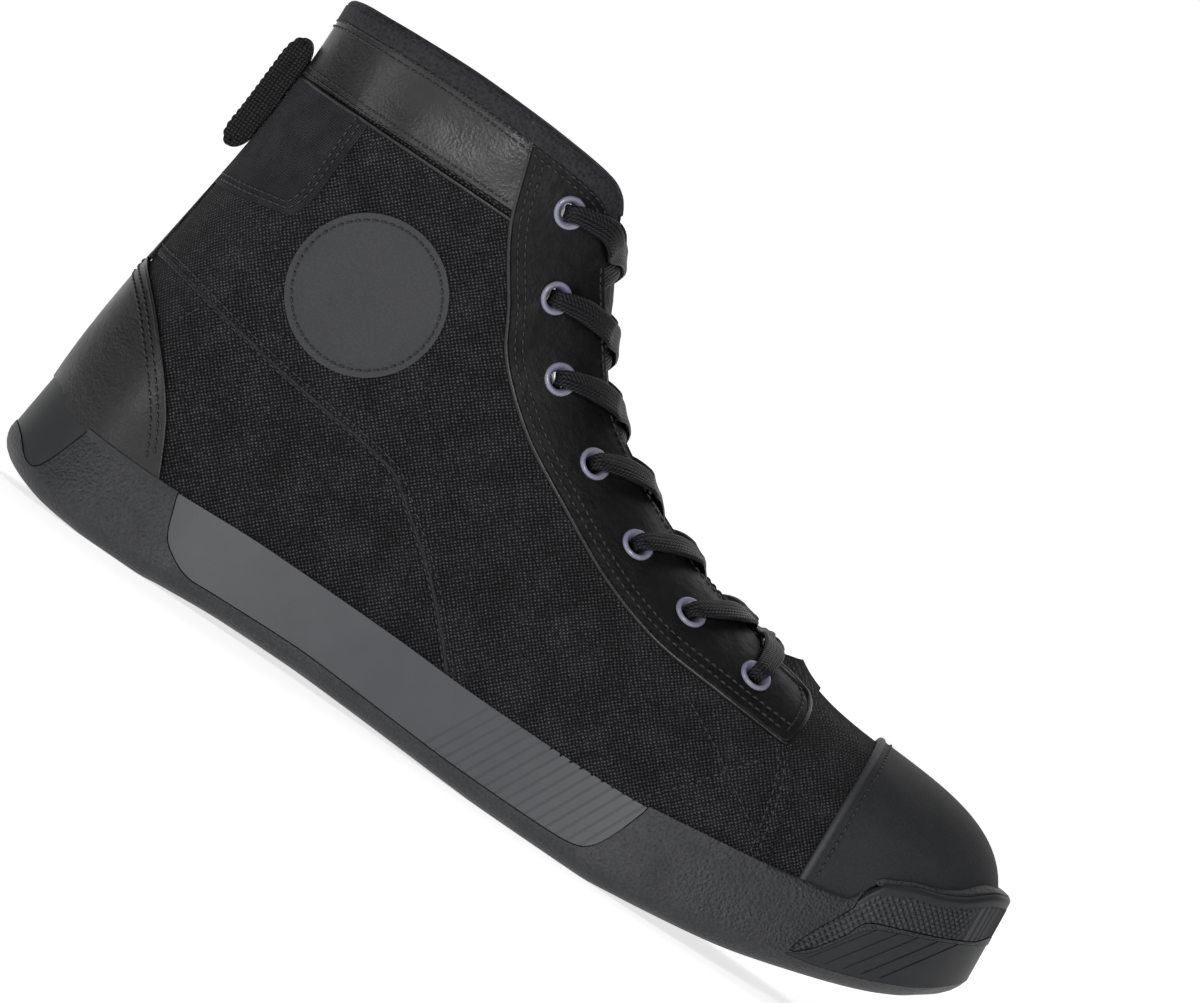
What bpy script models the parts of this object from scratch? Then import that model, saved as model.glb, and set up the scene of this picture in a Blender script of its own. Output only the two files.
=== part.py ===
# Motorcycle boot for the right foot: canvas upper with leather overlays on a rubber cupsole.
# The boot stands on its sole, with its toe along +X, its outer side along -Y and +Z up.
# Lengths below are in millimetres. A table holds shares of the named sizes that its heading gives.

import math

import bpy
import numpy as np

MM = 0.001

# Driving sizes
OUTSOLE_LENGTH = 305.0
BOOT_HEIGHT = 164.0
BALL_WIDTH = 108.0
COLLAR_WIDTH = 71.0
SIDEWALL_HEIGHT = 25.5
TOE_SPRING = 29.5
RIM_INSET = 2.2
UPPER_INSET = 5.0
UPPER_WALL = 2.0
QUARTER_STEP = 0.8
OVERLAY_THICKNESS = 1.2
GAP = 0.3
INSOLE_THICKNESS = 4.0
INSOLE_CLEARANCE = 1.2
TONGUE_THICKNESS = 3.0
TONGUE_GAP = 0.8
INSERT_DEPTH = 1.3
INSERT_SINK = 0.3
EYELET_FLANGE_RADIUS = 5.0
EYELET_BORE_RADIUS = 2.5
EYELET_BARREL_WALL = 0.5
EYELET_FLANGE_RISE = 0.8
LACE_WIDTH = 7.0
LACE_THICKNESS = 1.4
PATCH_RADIUS = 22.5
LOOP_WIDTH = 14.0
LOOP_WEBBING = 3.0
LOOP_DEPTH = 4.6
TREAD_DEPTH = 1.5
TREAD_WIDTH = 4.0
TREAD_MARGIN = 16.0
# Corner of the sole between tread and sidewall: how far in and how high
TREAD_INSET = 7.0
CORNER_INSET = 1.9
CORNER_RISE = 1.6
WIDEST_INSET = 0.1
WIDEST_RISE = 5.5
RIM_ROUND = 0.5
# How far cutting tools reach past what they cut
CUT_REACH = 4.0
HOLE_REACH = 9.0

# Stations round the foot, from the toe tip to the back of the heel.
# x is a share of the outsole length and outer and inner of the ball width, for the widest line of the sole.
# The other columns are the handles of the wall's curve, as shares of the boot height: forward, out and up at
# its foot, and forward, out and down at its top.
STATIONS = (
    # x, outer, inner, foot_fwd, foot_out, foot_up, top_fwd, top_out, top_down
    (1.000, -0.074, 0.074, 0.035, 0.000, 0.348, 0.159, 0.000, 0.104),
    (0.980, 0.102, 0.250, 0.033, 0.012, 0.341, 0.159, 0.024, 0.098),
    (0.931, 0.269, 0.375, 0.024, 0.018, 0.305, 0.152, 0.061, 0.079),
    (0.859, 0.384, 0.444, 0.012, 0.012, 0.268, 0.134, 0.085, 0.043),
    (0.780, 0.456, 0.481, 0.000, 0.012, 0.244, 0.085, 0.122, 0.018),
    (0.689, 0.500, 0.491, -0.012, 0.018, 0.256, 0.073, 0.134, 0.037),
    (0.584, 0.491, 0.444, 0.000, 0.018, 0.274, 0.061, 0.134, 0.073),
    (0.475, 0.440, 0.380, 0.000, 0.006, 0.274, 0.049, 0.122, 0.134),
    (0.367, 0.389, 0.343, 0.000, 0.006, 0.274, 0.024, 0.116, 0.213),
    (0.262, 0.366, 0.347, 0.000, 0.012, 0.274, -0.012, 0.067, 0.305),
    (0.164, 0.366, 0.356, -0.006, 0.024, 0.274, -0.037, -0.006, 0.305),
    (0.079, 0.324, 0.319, -0.012, 0.018, 0.274, -0.006, -0.012, 0.305),
    (0.020, 0.185, 0.185, -0.015, 0.006, 0.274, 0.003, -0.024, 0.305),
    (0.000, 0.000, 0.000, -0.027, 0.000, 0.280, 0.020, 0.000, 0.323),
)
HEEL_STATION = len(STATIONS) - 1
ROUND = 2 * HEEL_STATION

# Top edge of the upper, from the foot of the throat up to the collar and round to its back.
TOP_EDGE = (
    # station, x of outsole length, half width of collar width, z of boot height
    (0.0, 0.711, 0.000, 0.494),
    (1.0, 0.709, 0.063, 0.491),
    (2.0, 0.700, 0.134, 0.485),
    (3.0, 0.679, 0.180, 0.477),
    (4.0, 0.646, 0.200, 0.483),
    (5.0, 0.590, 0.211, 0.511),
    (6.0, 0.515, 0.218, 0.570),
    (7.0, 0.433, 0.232, 0.668),
    (8.0, 0.380, 0.254, 0.799),
    (8.5, 0.354, 0.289, 0.878),
    (8.85, 0.345, 0.324, 0.939),
    (9.0, 0.337, 0.345, 0.963),
    (9.2, 0.321, 0.387, 0.979),
    (9.5, 0.285, 0.451, 0.988),
    (10.0, 0.230, 0.497, 0.995),
    (10.5, 0.170, 0.507, 0.998),
    (11.0, 0.118, 0.472, 0.995),
    (11.5, 0.082, 0.394, 0.991),
    (12.0, 0.059, 0.268, 0.988),
    (12.5, 0.049, 0.141, 0.984),
    (13.0, 0.047, 0.000, 0.982),
)

# Side lines of the sole: x is a share of the outsole length, z of the size in each heading.
# Underside, z of the toe spring
UNDERSIDE = (
    (0.000, 0.237), (0.007, 0.210), (0.023, 0.149), (0.039, 0.095), (0.066, 0.037), (0.098, 0.008),
    (0.111, 0.000), (0.170, 0.000), (0.197, 0.026), (0.262, 0.068), (0.328, 0.075), (0.393, 0.058),
    (0.459, 0.031), (0.508, 0.010), (0.541, 0.000), (0.649, 0.000), (0.689, 0.037), (0.721, 0.075),
    (0.787, 0.173), (0.852, 0.336), (0.918, 0.539), (0.951, 0.678), (0.967, 0.776), (0.984, 0.881),
    (1.000, 1.000),
)
# Rim, z of the sidewall height
RIM = (
    (0.000, 1.255), (0.012, 1.235), (0.033, 1.070), (0.066, 1.000), (0.130, 0.980), (0.262, 1.031),
    (0.390, 1.020), (0.490, 0.990), (0.590, 1.000), (0.656, 1.031), (0.720, 1.120), (0.780, 1.216),
    (0.820, 1.294), (0.871, 1.412), (0.881, 1.620), (0.890, 1.765), (0.904, 1.847), (0.920, 1.933),
    (0.941, 2.000), (0.963, 2.118), (0.977, 2.235), (0.990, 2.320), (1.000, 2.335),
)
# Floor of the cup, z of the sidewall height
FLOOR = (
    (0.000, 0.588), (0.197, 0.608), (0.393, 0.588), (0.541, 0.470), (0.656, 0.470), (0.754, 0.588),
    (0.852, 0.804), (0.918, 1.020), (0.984, 1.314), (1.000, 1.373),
)

# Outlines seen from the side: x is a share of the outsole length and z of the boot height.
EYESTAY_BACK = (
    (0.241, 1.010), (0.255, 0.936), (0.277, 0.823), (0.315, 0.713), (0.341, 0.637), (0.393, 0.555),
    (0.459, 0.488), (0.525, 0.430), (0.590, 0.393), (0.656, 0.381), (0.733, 0.370),
)
EYESTAY_TOE = ((0.738, 0.372), (0.741, 0.409), (0.736, 0.445), (0.718, 0.460), (0.672, 0.473))
COUNTER_EDGE = (
    (0.000, 0.443), (0.015, 0.443), (0.026, 0.425), (0.052, 0.382), (0.073, 0.341), (0.098, 0.288),
    (0.121, 0.227), (0.146, 0.134),
)
CAP_EDGE = ((0.813, 0.520), (0.816, 0.330), (0.822, 0.100))
EYELETS = (
    (0.311, 0.901), (0.343, 0.770), (0.388, 0.660), (0.456, 0.573), (0.529, 0.501), (0.602, 0.457),
    (0.682, 0.430),
)
COLLAR_SEAM = 0.837
# Pull loop seen from the side: distance off the heel as a share of the loop's depth, z of the boot height
LOOP_PATH = (
    (0.00, 0.705), (0.00, 0.740), (0.00, 0.780), (0.00, 0.820), (0.00, 0.860), (0.18, 0.880), (0.50, 0.888),
    (0.82, 0.880), (1.00, 0.860), (1.02, 0.820), (1.00, 0.780), (0.97, 0.740), (0.95, 0.705), (0.78, 0.688),
    (0.48, 0.681), (0.18, 0.688),
)
PATCH_CENTRE = (0.204, 0.599)

# Outlines of the sole's inserts: z is a share of the sidewall height.
PANEL_EDGE = (
    (0.164, 1.100), (0.164, 0.961), (0.168, 0.812), (0.176, 0.561), (0.187, 0.420), (0.211, 0.290),
    (0.243, 0.294), (0.328, 0.325), (0.393, 0.294), (0.459, 0.255), (0.508, 0.235), (0.590, 0.235),
    (0.629, 0.263), (0.645, 0.361), (0.656, 0.588), (0.667, 0.965), (0.667, 1.100),
)
BUMPER_EDGE = (
    (1.050, 1.880), (1.000, 1.880), (0.984, 1.737), (0.967, 1.647), (0.944, 1.541), (0.920, 1.443),
    (0.895, 1.333), (0.885, 1.231), (0.879, 1.059), (0.870, 0.902), (0.859, 0.729), (0.845, 0.604),
    (0.852, 0.863), (0.864, 1.149), (0.872, 1.340),
)
HEEL_INSERT_EDGE = ((-0.050, 0.600), (0.003, 0.590), (0.031, 0.340), (0.046, 0.392), (0.063, 0.930))
GROOVE_COUNT = 17
GROOVE_PITCH = 3.3
GROOVE_WIDTH = 0.8
GROOVE_DEPTH = 0.5
GROOVE_START = 0.470
GROOVE_LEAN = 9.5
TREAD_PLACES = (0.085, 0.205, 0.560, 0.600, 0.640, 0.680)

# Columns of the wall between two stations, and rows between the sole's rim and the top edge
COLUMNS_PER_STATION = (2, 3, 3, 2, 2, 2, 2, 2, 2, 1, 2, 2, 2)
SEAM_STATION = 3.83
SEAM_WIDTH = 0.03
ROWS = (0.0, 0.14, 0.30, 0.47, 0.65, 0.84, 1.0)
EYELET_SIDES = 8

# Shares of the sidewall's height that an insert and its recess reach over
INSERT_REACH = (-0.6, 0.0, 1.0)
RECESS_REACH = (-0.6, 0.0, 1.15)

# Rows of the tongue under the vamp, as shares of the wall, and how many stations they reach over
TONGUE_AHEAD = (0.78, 0.90)
TONGUE_SPREAD = 2.6

# A lace is narrower where it leaves its eyelet. Its run has rows of share across the throat and lift.
LACE_START_SHARE = 0.6
EYESTAY_FACE = GAP + OVERLAY_THICKNESS
LACE_OVER_FLANGE = EYELET_FLANGE_RISE + 4 * GAP
LACE_AT_EDGE = EYESTAY_FACE + 3 * GAP
LACE_ON_TONGUE = -UPPER_WALL - QUARTER_STEP - TONGUE_GAP + 2 * GAP
CROSS_ROUTE = (
    (0.02, LACE_AT_EDGE), (0.20, 0.2), (0.50, LACE_ON_TONGUE), (0.68, LACE_ON_TONGUE), (0.86, LACE_ON_TONGUE),
)
# The lowest crossing rises over the thick foot of the tongue by this much more
FOOT_RISE = 2.0
BAR_ROUTE = ((0.02, LACE_AT_EDGE), (0.30, 1.9), (0.70, 1.9), (0.98, LACE_AT_EDGE))

COLOURS = {
    "canvas": ((0.018, 0.017, 0.020), 0.95),
    "leather": ((0.020, 0.020, 0.021), 0.50),
    "cap": ((0.035, 0.035, 0.037), 0.75),
    "rubber": ((0.030, 0.030, 0.031), 0.70),
    "insert": ((0.060, 0.060, 0.063), 0.55),
    "webbing": ((0.022, 0.021, 0.024), 0.90),
    "eyelet": ((0.420, 0.420, 0.500), 0.30),
    "patch": ((0.050, 0.050, 0.052), 0.65),
    "lining": ((0.030, 0.030, 0.032), 0.95),
}


def smooth_value(rows, x, column=1):
    """The value of a table at x, along a smooth curve that does not overshoot its rows."""
    xs = [row[0] for row in rows]
    if x <= xs[0]:
        return rows[0][column]
    if x >= xs[-1]:
        return rows[-1][column]
    index = int(np.searchsorted(xs, x, side="right")) - 1
    slopes = [
        (rows[i + 1][column] - rows[i][column]) / (xs[i + 1] - xs[i]) for i in range(len(rows) - 1)
    ]

    def tangent(i):
        if i == 0 or i == len(rows) - 1:
            return slopes[min(i, len(slopes) - 1)]
        before, after = slopes[i - 1], slopes[i]
        if before * after <= 0:
            return 0.0
        return 2 * before * after / (before + after)

    width = xs[index + 1] - xs[index]
    f = (x - xs[index]) / width
    start, end = rows[index][column], rows[index + 1][column]
    rise = tangent(index) * width
    fall = tangent(index + 1) * width
    return (
        (2 * f**3 - 3 * f**2 + 1) * start
        + (f**3 - 2 * f**2 + f) * rise
        + (3 * f**2 - 2 * f**3) * end
        + (f**3 - f**2) * fall
    )


def through(points, position, closed=False):
    """A point on the smooth curve through a row of points, with position 0 at the first of them."""
    count = len(points)
    start = math.floor(position)
    if not closed:
        start = min(max(start, 0), count - 2)
    f = position - start
    ends = []
    for step in (-1, 0, 1, 2):
        index = start + step
        index = index % count if closed else min(max(index, 0), count - 1)
        ends.append(np.array(points[index], float))
    a, b, c, d = ends
    return 0.5 * (2 * b + (c - a) * f + (2 * a - 5 * b + 4 * c - d) * f**2 + (3 * b - a - 3 * c + d) * f**3)


def mirrored(rows):
    """The top edge's rows, carried past the toe and the heel so that both ends meet smoothly."""
    before = [(-r[0], r[1], -r[2], r[3]) for r in rows[1:3]][::-1]
    after = [(2 * HEEL_STATION - r[0], r[1], -r[2], r[3]) for r in rows[-3:-1]][::-1]
    return before + list(rows) + after


WHOLE_EDGE = mirrored(TOP_EDGE)
RING = [(row[0], -row[1]) + row[3:] + (-1.0,) for row in STATIONS]
RING += [(row[0], row[2]) + row[3:] + (1.0,) for row in STATIONS[-2:0:-1]]
OUTLINE = [(row[0] * OUTSOLE_LENGTH, row[1] * BALL_WIDTH) for row in RING]


def side_of(t):
    """-1 on the outer side of the foot and 1 on the inner side."""
    return -1.0 if t % ROUND <= HEEL_STATION else 1.0


def outline(t, inset=0.0):
    """A point of the sole's widest line, in plan, moved in towards the foot."""
    point = through(OUTLINE, t % ROUND, closed=True)
    ahead = through(OUTLINE, (t + 0.01) % ROUND, closed=True)
    behind = through(OUTLINE, (t - 0.01) % ROUND, closed=True)
    along = ahead - behind
    inward = np.array((-along[1], along[0])) / np.hypot(*along)
    centre = np.array((0.5 * OUTSOLE_LENGTH, 0.0))
    if inward @ (centre - point) < 0:
        inward = -inward
    return point + inset * inward


def underside(x):
    return smooth_value(UNDERSIDE, x / OUTSOLE_LENGTH) * TOE_SPRING


def rim_height(t):
    return smooth_value(RIM, outline(t)[0] / OUTSOLE_LENGTH) * SIDEWALL_HEIGHT


def floor_height(x):
    return smooth_value(FLOOR, x / OUTSOLE_LENGTH) * SIDEWALL_HEIGHT


def top_edge(t):
    """A point of the upper's top edge."""
    t = t % ROUND
    side = side_of(t)
    station = t if side < 0 else ROUND - t
    x, half, z = (smooth_value(WHOLE_EDGE, station, column) for column in (1, 2, 3))
    return np.array((x * OUTSOLE_LENGTH, side * half * COLLAR_WIDTH, z * BOOT_HEIGHT))


def foot_handles(t):
    """The two handles of the wall's curve. Their sideways shares change sign with the side of the foot."""
    rows = [(r[2], r[3] * r[8], r[4], r[5], r[6] * r[8], r[7]) for r in RING]
    shares = through(rows, t % ROUND, closed=True) * BOOT_HEIGHT
    return shares[:3], np.array((shares[3], shares[4], -shares[5]))


def wall(t, h):
    """The surface of the last: t runs round the foot and h from the sole's floor to the top edge."""
    plan = outline(t, UPPER_INSET)
    foot = np.array((plan[0], plan[1], floor_height(plan[0]) + GAP))
    top = top_edge(t)
    rise, fall = foot_handles(t)
    g = 1.0 - h
    return g**3 * foot + 3 * g**2 * h * (foot + rise) + 3 * g * h**2 * (top + fall) + h**3 * top


def outward(surface, a, b):
    """The outward normal of a surface, from its two parameters."""
    step = 0.004
    high = min(b + step, 1.0)
    across = surface(a + step, b) - surface(a - step, b)
    up = surface(a, high) - surface(a, high - 2 * step)
    normal = np.cross(up, across)
    return normal / np.linalg.norm(normal)


def seam_step(t):
    """The quarter's canvas lies over the vamp's, so the wall steps out behind the quarter seam."""
    station = t % ROUND
    station = min(station, ROUND - station)
    return QUARTER_STEP * min(max((station - SEAM_STATION) / SEAM_WIDTH, 0.0), 1.0)


def skin(t, h, offset=0.0):
    """A point at a distance outside the upper's outer face."""
    return wall(t, h) + outward(wall, t, h) * (seam_step(t) + offset)


def rim_share(t):
    """The h at which the upper comes out of the sole."""
    low, high = 0.0, 0.8
    target = rim_height(t)
    for _ in range(30):
        middle = 0.5 * (low + high)
        if wall(t, middle)[2] < target:
            low = middle
        else:
            high = middle
    return 0.5 * (low + high)


def locate(x, z, side):
    """The t and h where the upper's outer face has a given x and z in side view."""
    best = None
    for k in range(0, 4 * HEEL_STATION + 1):
        t = k / 4 if side < 0 else ROUND - k / 4
        for i in range(1, 17):
            point = wall(t, i / 16)
            miss = math.hypot(point[0] - x, point[2] - z)
            if best is None or miss < best[0]:
                best = (miss, t, i / 16)
    t, h = best[1], best[2]
    for _ in range(8):
        here = skin(t, h)
        by_t = (skin(t + 0.01, h) - here) / 0.01
        by_h = (skin(t, h - 0.01) - here) / -0.01
        slopes = np.array(((by_t[0], by_h[0]), (by_t[2], by_h[2])))
        move = np.linalg.solve(slopes, np.array((x - here[0], z - here[2])))
        t += float(np.clip(move[0], -0.3, 0.3))
        h = float(np.clip(h + np.clip(move[1], -0.1, 0.1), 0.01, 1.0))
    return t, h


def columns():
    """Every t at which the wall and the sole have a column of points."""
    half = []
    for station, count in enumerate(COLUMNS_PER_STATION):
        half += [station + k / count for k in range(count)]
    half += [SEAM_STATION, SEAM_STATION + SEAM_WIDTH]
    half = sorted(half)
    return half + [HEEL_STATION] + [ROUND - t for t in half[:0:-1]]


COLUMNS = columns()
RIM_SHARES = [rim_share(t) for t in COLUMNS]


def material(name):
    found = bpy.data.materials.get(name)
    if found is None:
        colour, roughness = COLOURS[name]
        found = bpy.data.materials.new(name)
        found.use_nodes = True
        shader = found.node_tree.nodes["Principled BSDF"]
        shader.inputs["Base Color"].default_value = (*colour, 1.0)
        shader.inputs["Roughness"].default_value = roughness
        shader.inputs["Metallic"].default_value = 1.0 if name == "eyelet" else 0.0
        found.diffuse_color = (*colour, 1.0)
    return found


def centre_shift():
    """Puts the origin under the middle of the sole."""
    points = [outline(t) for t in np.arange(0.0, ROUND, 0.02)]
    low, high = np.min(points, axis=0), np.max(points, axis=0)
    return 0.5 * (low + high)


CENTRE = centre_shift()


def solid(name, points, faces, finish):
    """A mesh object from points in millimetres, with its faces turned out."""
    mesh = bpy.data.meshes.new(name)
    shifted = [((p[0] - CENTRE[0]) * MM, (p[1] - CENTRE[1]) * MM, p[2] * MM) for p in points]
    mesh.from_pydata(shifted, [], faces)
    mesh.validate()
    volume = 0.0
    mesh.calc_loop_triangles()
    for triangle in mesh.loop_triangles:
        a, b, c = (mesh.vertices[i].co for i in triangle.vertices)
        volume += a.dot(b.cross(c))
    if volume < 0:
        mesh.flip_normals()
    thing = bpy.data.objects.new(name, mesh)
    bpy.context.scene.collection.objects.link(thing)
    mesh.materials.append(material(finish))
    return thing


def tube(name, rings, finish, loop=False, split=True, turned=()):
    """A solid through rings of points: its ends are capped, or it closes on itself.

    Split faces have their diagonals all one way, so that parallel walls stay parallel. The strips named in
    turned have them the other way.
    """
    size = len(rings[0])
    points = [p for ring in rings for p in ring]
    faces = []
    last = len(rings) if loop else len(rings) - 1
    for r in range(last):
        for k in range(size):
            ahead = ((r + 1) % len(rings)) * size
            a, b = r * size + k, r * size + (k + 1) % size
            c, d = ahead + (k + 1) % size, ahead + k
            if not split:
                faces.append((a, b, c, d))
            elif k in turned:
                faces += [(a, b, d), (b, c, d)]
            else:
                faces += [(a, b, c), (a, c, d)]
    if not loop:
        faces.append(tuple(range(size))[::-1])
        faces.append(tuple((len(rings) - 1) * size + k for k in range(size)))
    return solid(name, points, faces, finish)


def combine(base, tool, operation, keep_tool=False):
    """Joins, cuts or keeps the common part of two solids, at once.

    The manifold solver is used because the exact one loses thin shells such as the overlays.
    """
    modifier = base.modifiers.new("combine", "BOOLEAN")
    modifier.object = tool
    modifier.operation = operation
    modifier.solver = "MANIFOLD"
    graph = bpy.context.evaluated_depsgraph_get()
    mesh = bpy.data.meshes.new_from_object(base.evaluated_get(graph))
    base.modifiers.remove(modifier)
    old = base.data
    base.data = mesh
    finish = old.materials[0]
    mesh.materials.clear()
    mesh.materials.append(finish)
    bpy.data.meshes.remove(old)
    if not keep_tool:
        bpy.data.objects.remove(tool)
    return base


def side_curve(rows, height, per_span=1):
    """Points along a smooth side outline, in millimetres."""
    count = (len(rows) - 1) * per_span
    found = []
    for k in range(count + 1):
        x, z = through(rows, k / per_span)
        found.append((x * OUTSOLE_LENGTH, z * height))
    return found


def prism(points, y_from, y_to):
    """A side outline pulled across the boot, as a cutting tool."""
    rings = [[(x, y, z) for x, z in points] for y in (y_from, y_to)]
    return tube("cutter", rings, "canvas")


def shell(name, low_offset, high_offset, finish):
    """A larger form from the upper's own function: everything above the rim, between two offsets."""
    rings = []
    foot_clearance = 1.5 * GAP
    for t, h_rim in zip(COLUMNS, RIM_SHARES):
        length = np.linalg.norm(wall(t, 1.0) - wall(t, h_rim))
        shares = [foot_clearance / length] + list(ROWS[1:])
        low = [skin(t, h_rim + v * (1 - h_rim), low_offset) for v in shares]
        high = [skin(t, h_rim + v * (1 - h_rim), high_offset) for v in shares]
        rings.append(low + high[::-1])
    return tube(name, rings, finish, loop=True)


def overlay(name, outlines, finish, thickness=OVERLAY_THICKNESS):
    """A piece that lies on the upper, inside one or more side outlines."""
    piece = shell(name, GAP, GAP + thickness, finish)
    for points, y_from, y_to, operation in outlines:
        combine(piece, prism(points, y_from, y_to), operation)
    return piece


def upper():
    """The canvas upper: one hollow wall, open at the collar, the throat and underneath."""
    rings = []
    for t, h_rim in zip(COLUMNS, RIM_SHARES):
        shares = [0.0] + [h_rim + v * (1 - h_rim) for v in ROWS]
        outer = [skin(t, h) for h in shares]
        inner = [skin(t, h, -UPPER_WALL - seam_step(t)) for h in shares]
        rings.append(outer + inner[::-1])
    return tube("upper", rings, "canvas", loop=True)


def sole_ring(t, h_rim):
    """One section of the cupsole, from its tread over the rim to the floor of the cup."""
    rim = rim_height(t)
    section = []
    for inset, rise in ((TREAD_INSET, 0.0), (CORNER_INSET, CORNER_RISE), (WIDEST_INSET, WIDEST_RISE)):
        plan = outline(t, inset)
        section.append(np.array((plan[0], plan[1], underside(plan[0]) + rise)))
    plan = outline(t, RIM_INSET)
    section.append(np.array((plan[0], plan[1], rim - RIM_ROUND)))
    section.append(skin(t, h_rim, GAP))
    foot = skin(t, 0.0, GAP)
    foot[2] = floor_height(foot[0])
    section.append(foot)
    return section


def ladder(size, ring_count, place):
    """Faces across the foot, between columns of the outer and the inner side."""
    faces = []
    half = ring_count // 2
    for k in range(half):
        a, b = k, k + 1
        c, d = (ring_count - b) % ring_count, (ring_count - a) % ring_count
        corners = [a, b, c, d]
        distinct = list(dict.fromkeys(corners))
        if len(distinct) > 2:
            faces.append(tuple(index * size + place for index in distinct))
    return faces


def cupsole():
    """The moulded cup: tread, sidewall, rim and floor in one closed solid."""
    rings = [sole_ring(t, h) for t, h in zip(COLUMNS, RIM_SHARES)]
    size = len(rings[0])
    points = [p for ring in rings for p in ring]
    faces = []
    for r in range(len(rings)):
        after = (r + 1) % len(rings)
        for k in range(size - 1):
            faces.append((r * size + k, r * size + k + 1, after * size + k + 1, after * size + k))
    faces += ladder(size, len(rings), 0)
    faces += [face[::-1] for face in ladder(size, len(rings), size - 1)]
    return solid("cupsole", points, faces, "rubber")


def sole_wall(t, share, offset):
    """A point beside the sole's sidewall: share runs from its widest line, 0, to the rim, 1."""
    rim = rim_height(t)
    widest = underside(outline(t, WIDEST_INSET)[0]) + WIDEST_RISE
    plan = outline(t, WIDEST_INSET + (RIM_INSET - WIDEST_INSET) * share - offset)
    return np.array((plan[0], plan[1], widest + share * (rim - RIM_ROUND - widest)))


def wall_band(name, low_offset, high_offset, finish, reach):
    """A larger form from the sole's own function, round its whole sidewall."""
    rings = []
    for t in COLUMNS:
        low = [sole_wall(t, share, low_offset) for share in reach]
        high = [sole_wall(t, share, high_offset) for share in reach]
        rings.append(low + high[::-1])
    return tube(name, rings, finish, loop=True, split=False)


def grown(points, distance):
    """An outline moved out by a distance, for the recess that an insert lies in."""
    count = len(points)
    area = sum(
        points[k][0] * points[(k + 1) % count][1] - points[(k + 1) % count][0] * points[k][1]
        for k in range(count)
    )
    turn = 1.0 if area > 0 else -1.0
    moved = []
    for k, (x, z) in enumerate(points):
        before, after = np.array(points[k - 1]), np.array(points[(k + 1) % count])
        along = (after - before) / np.linalg.norm(after - before)
        moved.append((x + turn * distance * along[1], z - turn * distance * along[0]))
    return moved


def insert(name, sole, points, y_range, finish):
    """An insert of the sidewall in a recess that leaves a gap all round it."""
    recess = wall_band("recess", -INSERT_DEPTH - GAP, CUT_REACH, finish, RECESS_REACH)
    combine(recess, prism(grown(points, GAP), *y_range), "INTERSECT")
    combine(sole, recess, "DIFFERENCE")
    piece = wall_band(name, -INSERT_DEPTH, -INSERT_SINK, finish, INSERT_REACH)
    combine(piece, prism(points, *y_range), "INTERSECT")
    return piece


def grooves(panel, side):
    """Slanted grooves near the ball, each cut to the same depth under the panel's face."""
    for k in range(GROOVE_COUNT):
        x = GROOVE_START * OUTSOLE_LENGTH + k * GROOVE_PITCH
        rings = []
        for share, lean in ((0.0, 0.0), (1.0, GROOVE_LEAN)):
            face = sole_wall(locate_plan(x + lean, side), share, -INSERT_SINK - GROOVE_DEPTH)
            beyond = face[1] + side * CUT_REACH
            ends = ((x, face[1]), (x + GROOVE_WIDTH, face[1]), (x + GROOVE_WIDTH, beyond), (x, beyond))
            rings.append([(at + lean, y, face[2]) for at, y in ends])
        combine(panel, tube("groove", rings, "insert"), "DIFFERENCE")
    return panel


def tread(sole):
    """Shallow grooves across the heel and the ball, short of the sole's edge."""
    for share in TREAD_PLACES:
        x = share * OUTSOLE_LENGTH
        outer = outline(locate_plan(x, -1.0), TREAD_MARGIN)[1]
        inner = outline(locate_plan(x, 1.0), TREAD_MARGIN)[1]
        depth = underside(x) + TREAD_DEPTH
        rings = []
        for y in (outer, inner):
            rings.append([
                (x - 0.5 * TREAD_WIDTH, y, -CUT_REACH),
                (x + 0.5 * TREAD_WIDTH, y, -CUT_REACH),
                (x + 0.4 * TREAD_WIDTH, y, depth),
                (x - 0.4 * TREAD_WIDTH, y, depth),
            ])
        combine(sole, tube("groove", rings, "rubber"), "DIFFERENCE")


def locate_plan(x, side):
    """The t at which the sole's outline reaches x on one side."""
    low, high = 0.0, float(HEEL_STATION)
    for _ in range(30):
        middle = 0.5 * (low + high)
        if outline(middle if side < 0 else ROUND - middle)[0] > x:
            low = middle
        else:
            high = middle
    return low if side < 0 else ROUND - low


def insole():
    """The foot bed, inside the upper's lower edge and just over the floor of the cup."""
    low, high = [], []
    for t in COLUMNS:
        edge = skin(t, 0.0, -UPPER_WALL - seam_step(t) - INSOLE_CLEARANCE)
        floor = floor_height(edge[0]) + GAP
        low.append(np.array((edge[0], edge[1], floor)))
        high.append(np.array((edge[0], edge[1], floor + INSOLE_THICKNESS)))
    points = low + high
    count = len(COLUMNS)
    faces = []
    for k in range(count):
        after = (k + 1) % count
        faces.append((k, after, count + after, count + k))
    faces += [face[::-1] for face in ladder(1, count, 0)]
    faces += ladder(1, count, count)
    return solid("insole", points, faces, "lining")


def lean_in(t):
    """The direction in which the wall would go on past its top edge, square to that edge."""
    lean = wall(t, 1.0) - wall(t, 0.99)
    edge = top_edge(t + 0.02) - top_edge(t - 0.02)
    edge = edge / np.linalg.norm(edge)
    lean = lean - (lean @ edge) * edge
    return lean / np.linalg.norm(lean)


def bridge(t, v, outer_lift, inner_lift):
    """A point of the curved sheet that spans the throat: v is 0 at its outer edge and 1 at its inner one."""
    other = ROUND - t
    a = skin(t, 1.0, outer_lift)
    b = skin(other, 1.0, inner_lift)
    reach = np.linalg.norm(b - a)
    lean_a, lean_b = reach * lean_in(t), reach * lean_in(other)
    return (
        (2 * v**3 - 3 * v**2 + 1) * a
        + (v**3 - 2 * v**2 + v) * lean_a
        + (3 * v**2 - 2 * v**3) * b
        - (v**3 - v**2) * lean_b
    )


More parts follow.
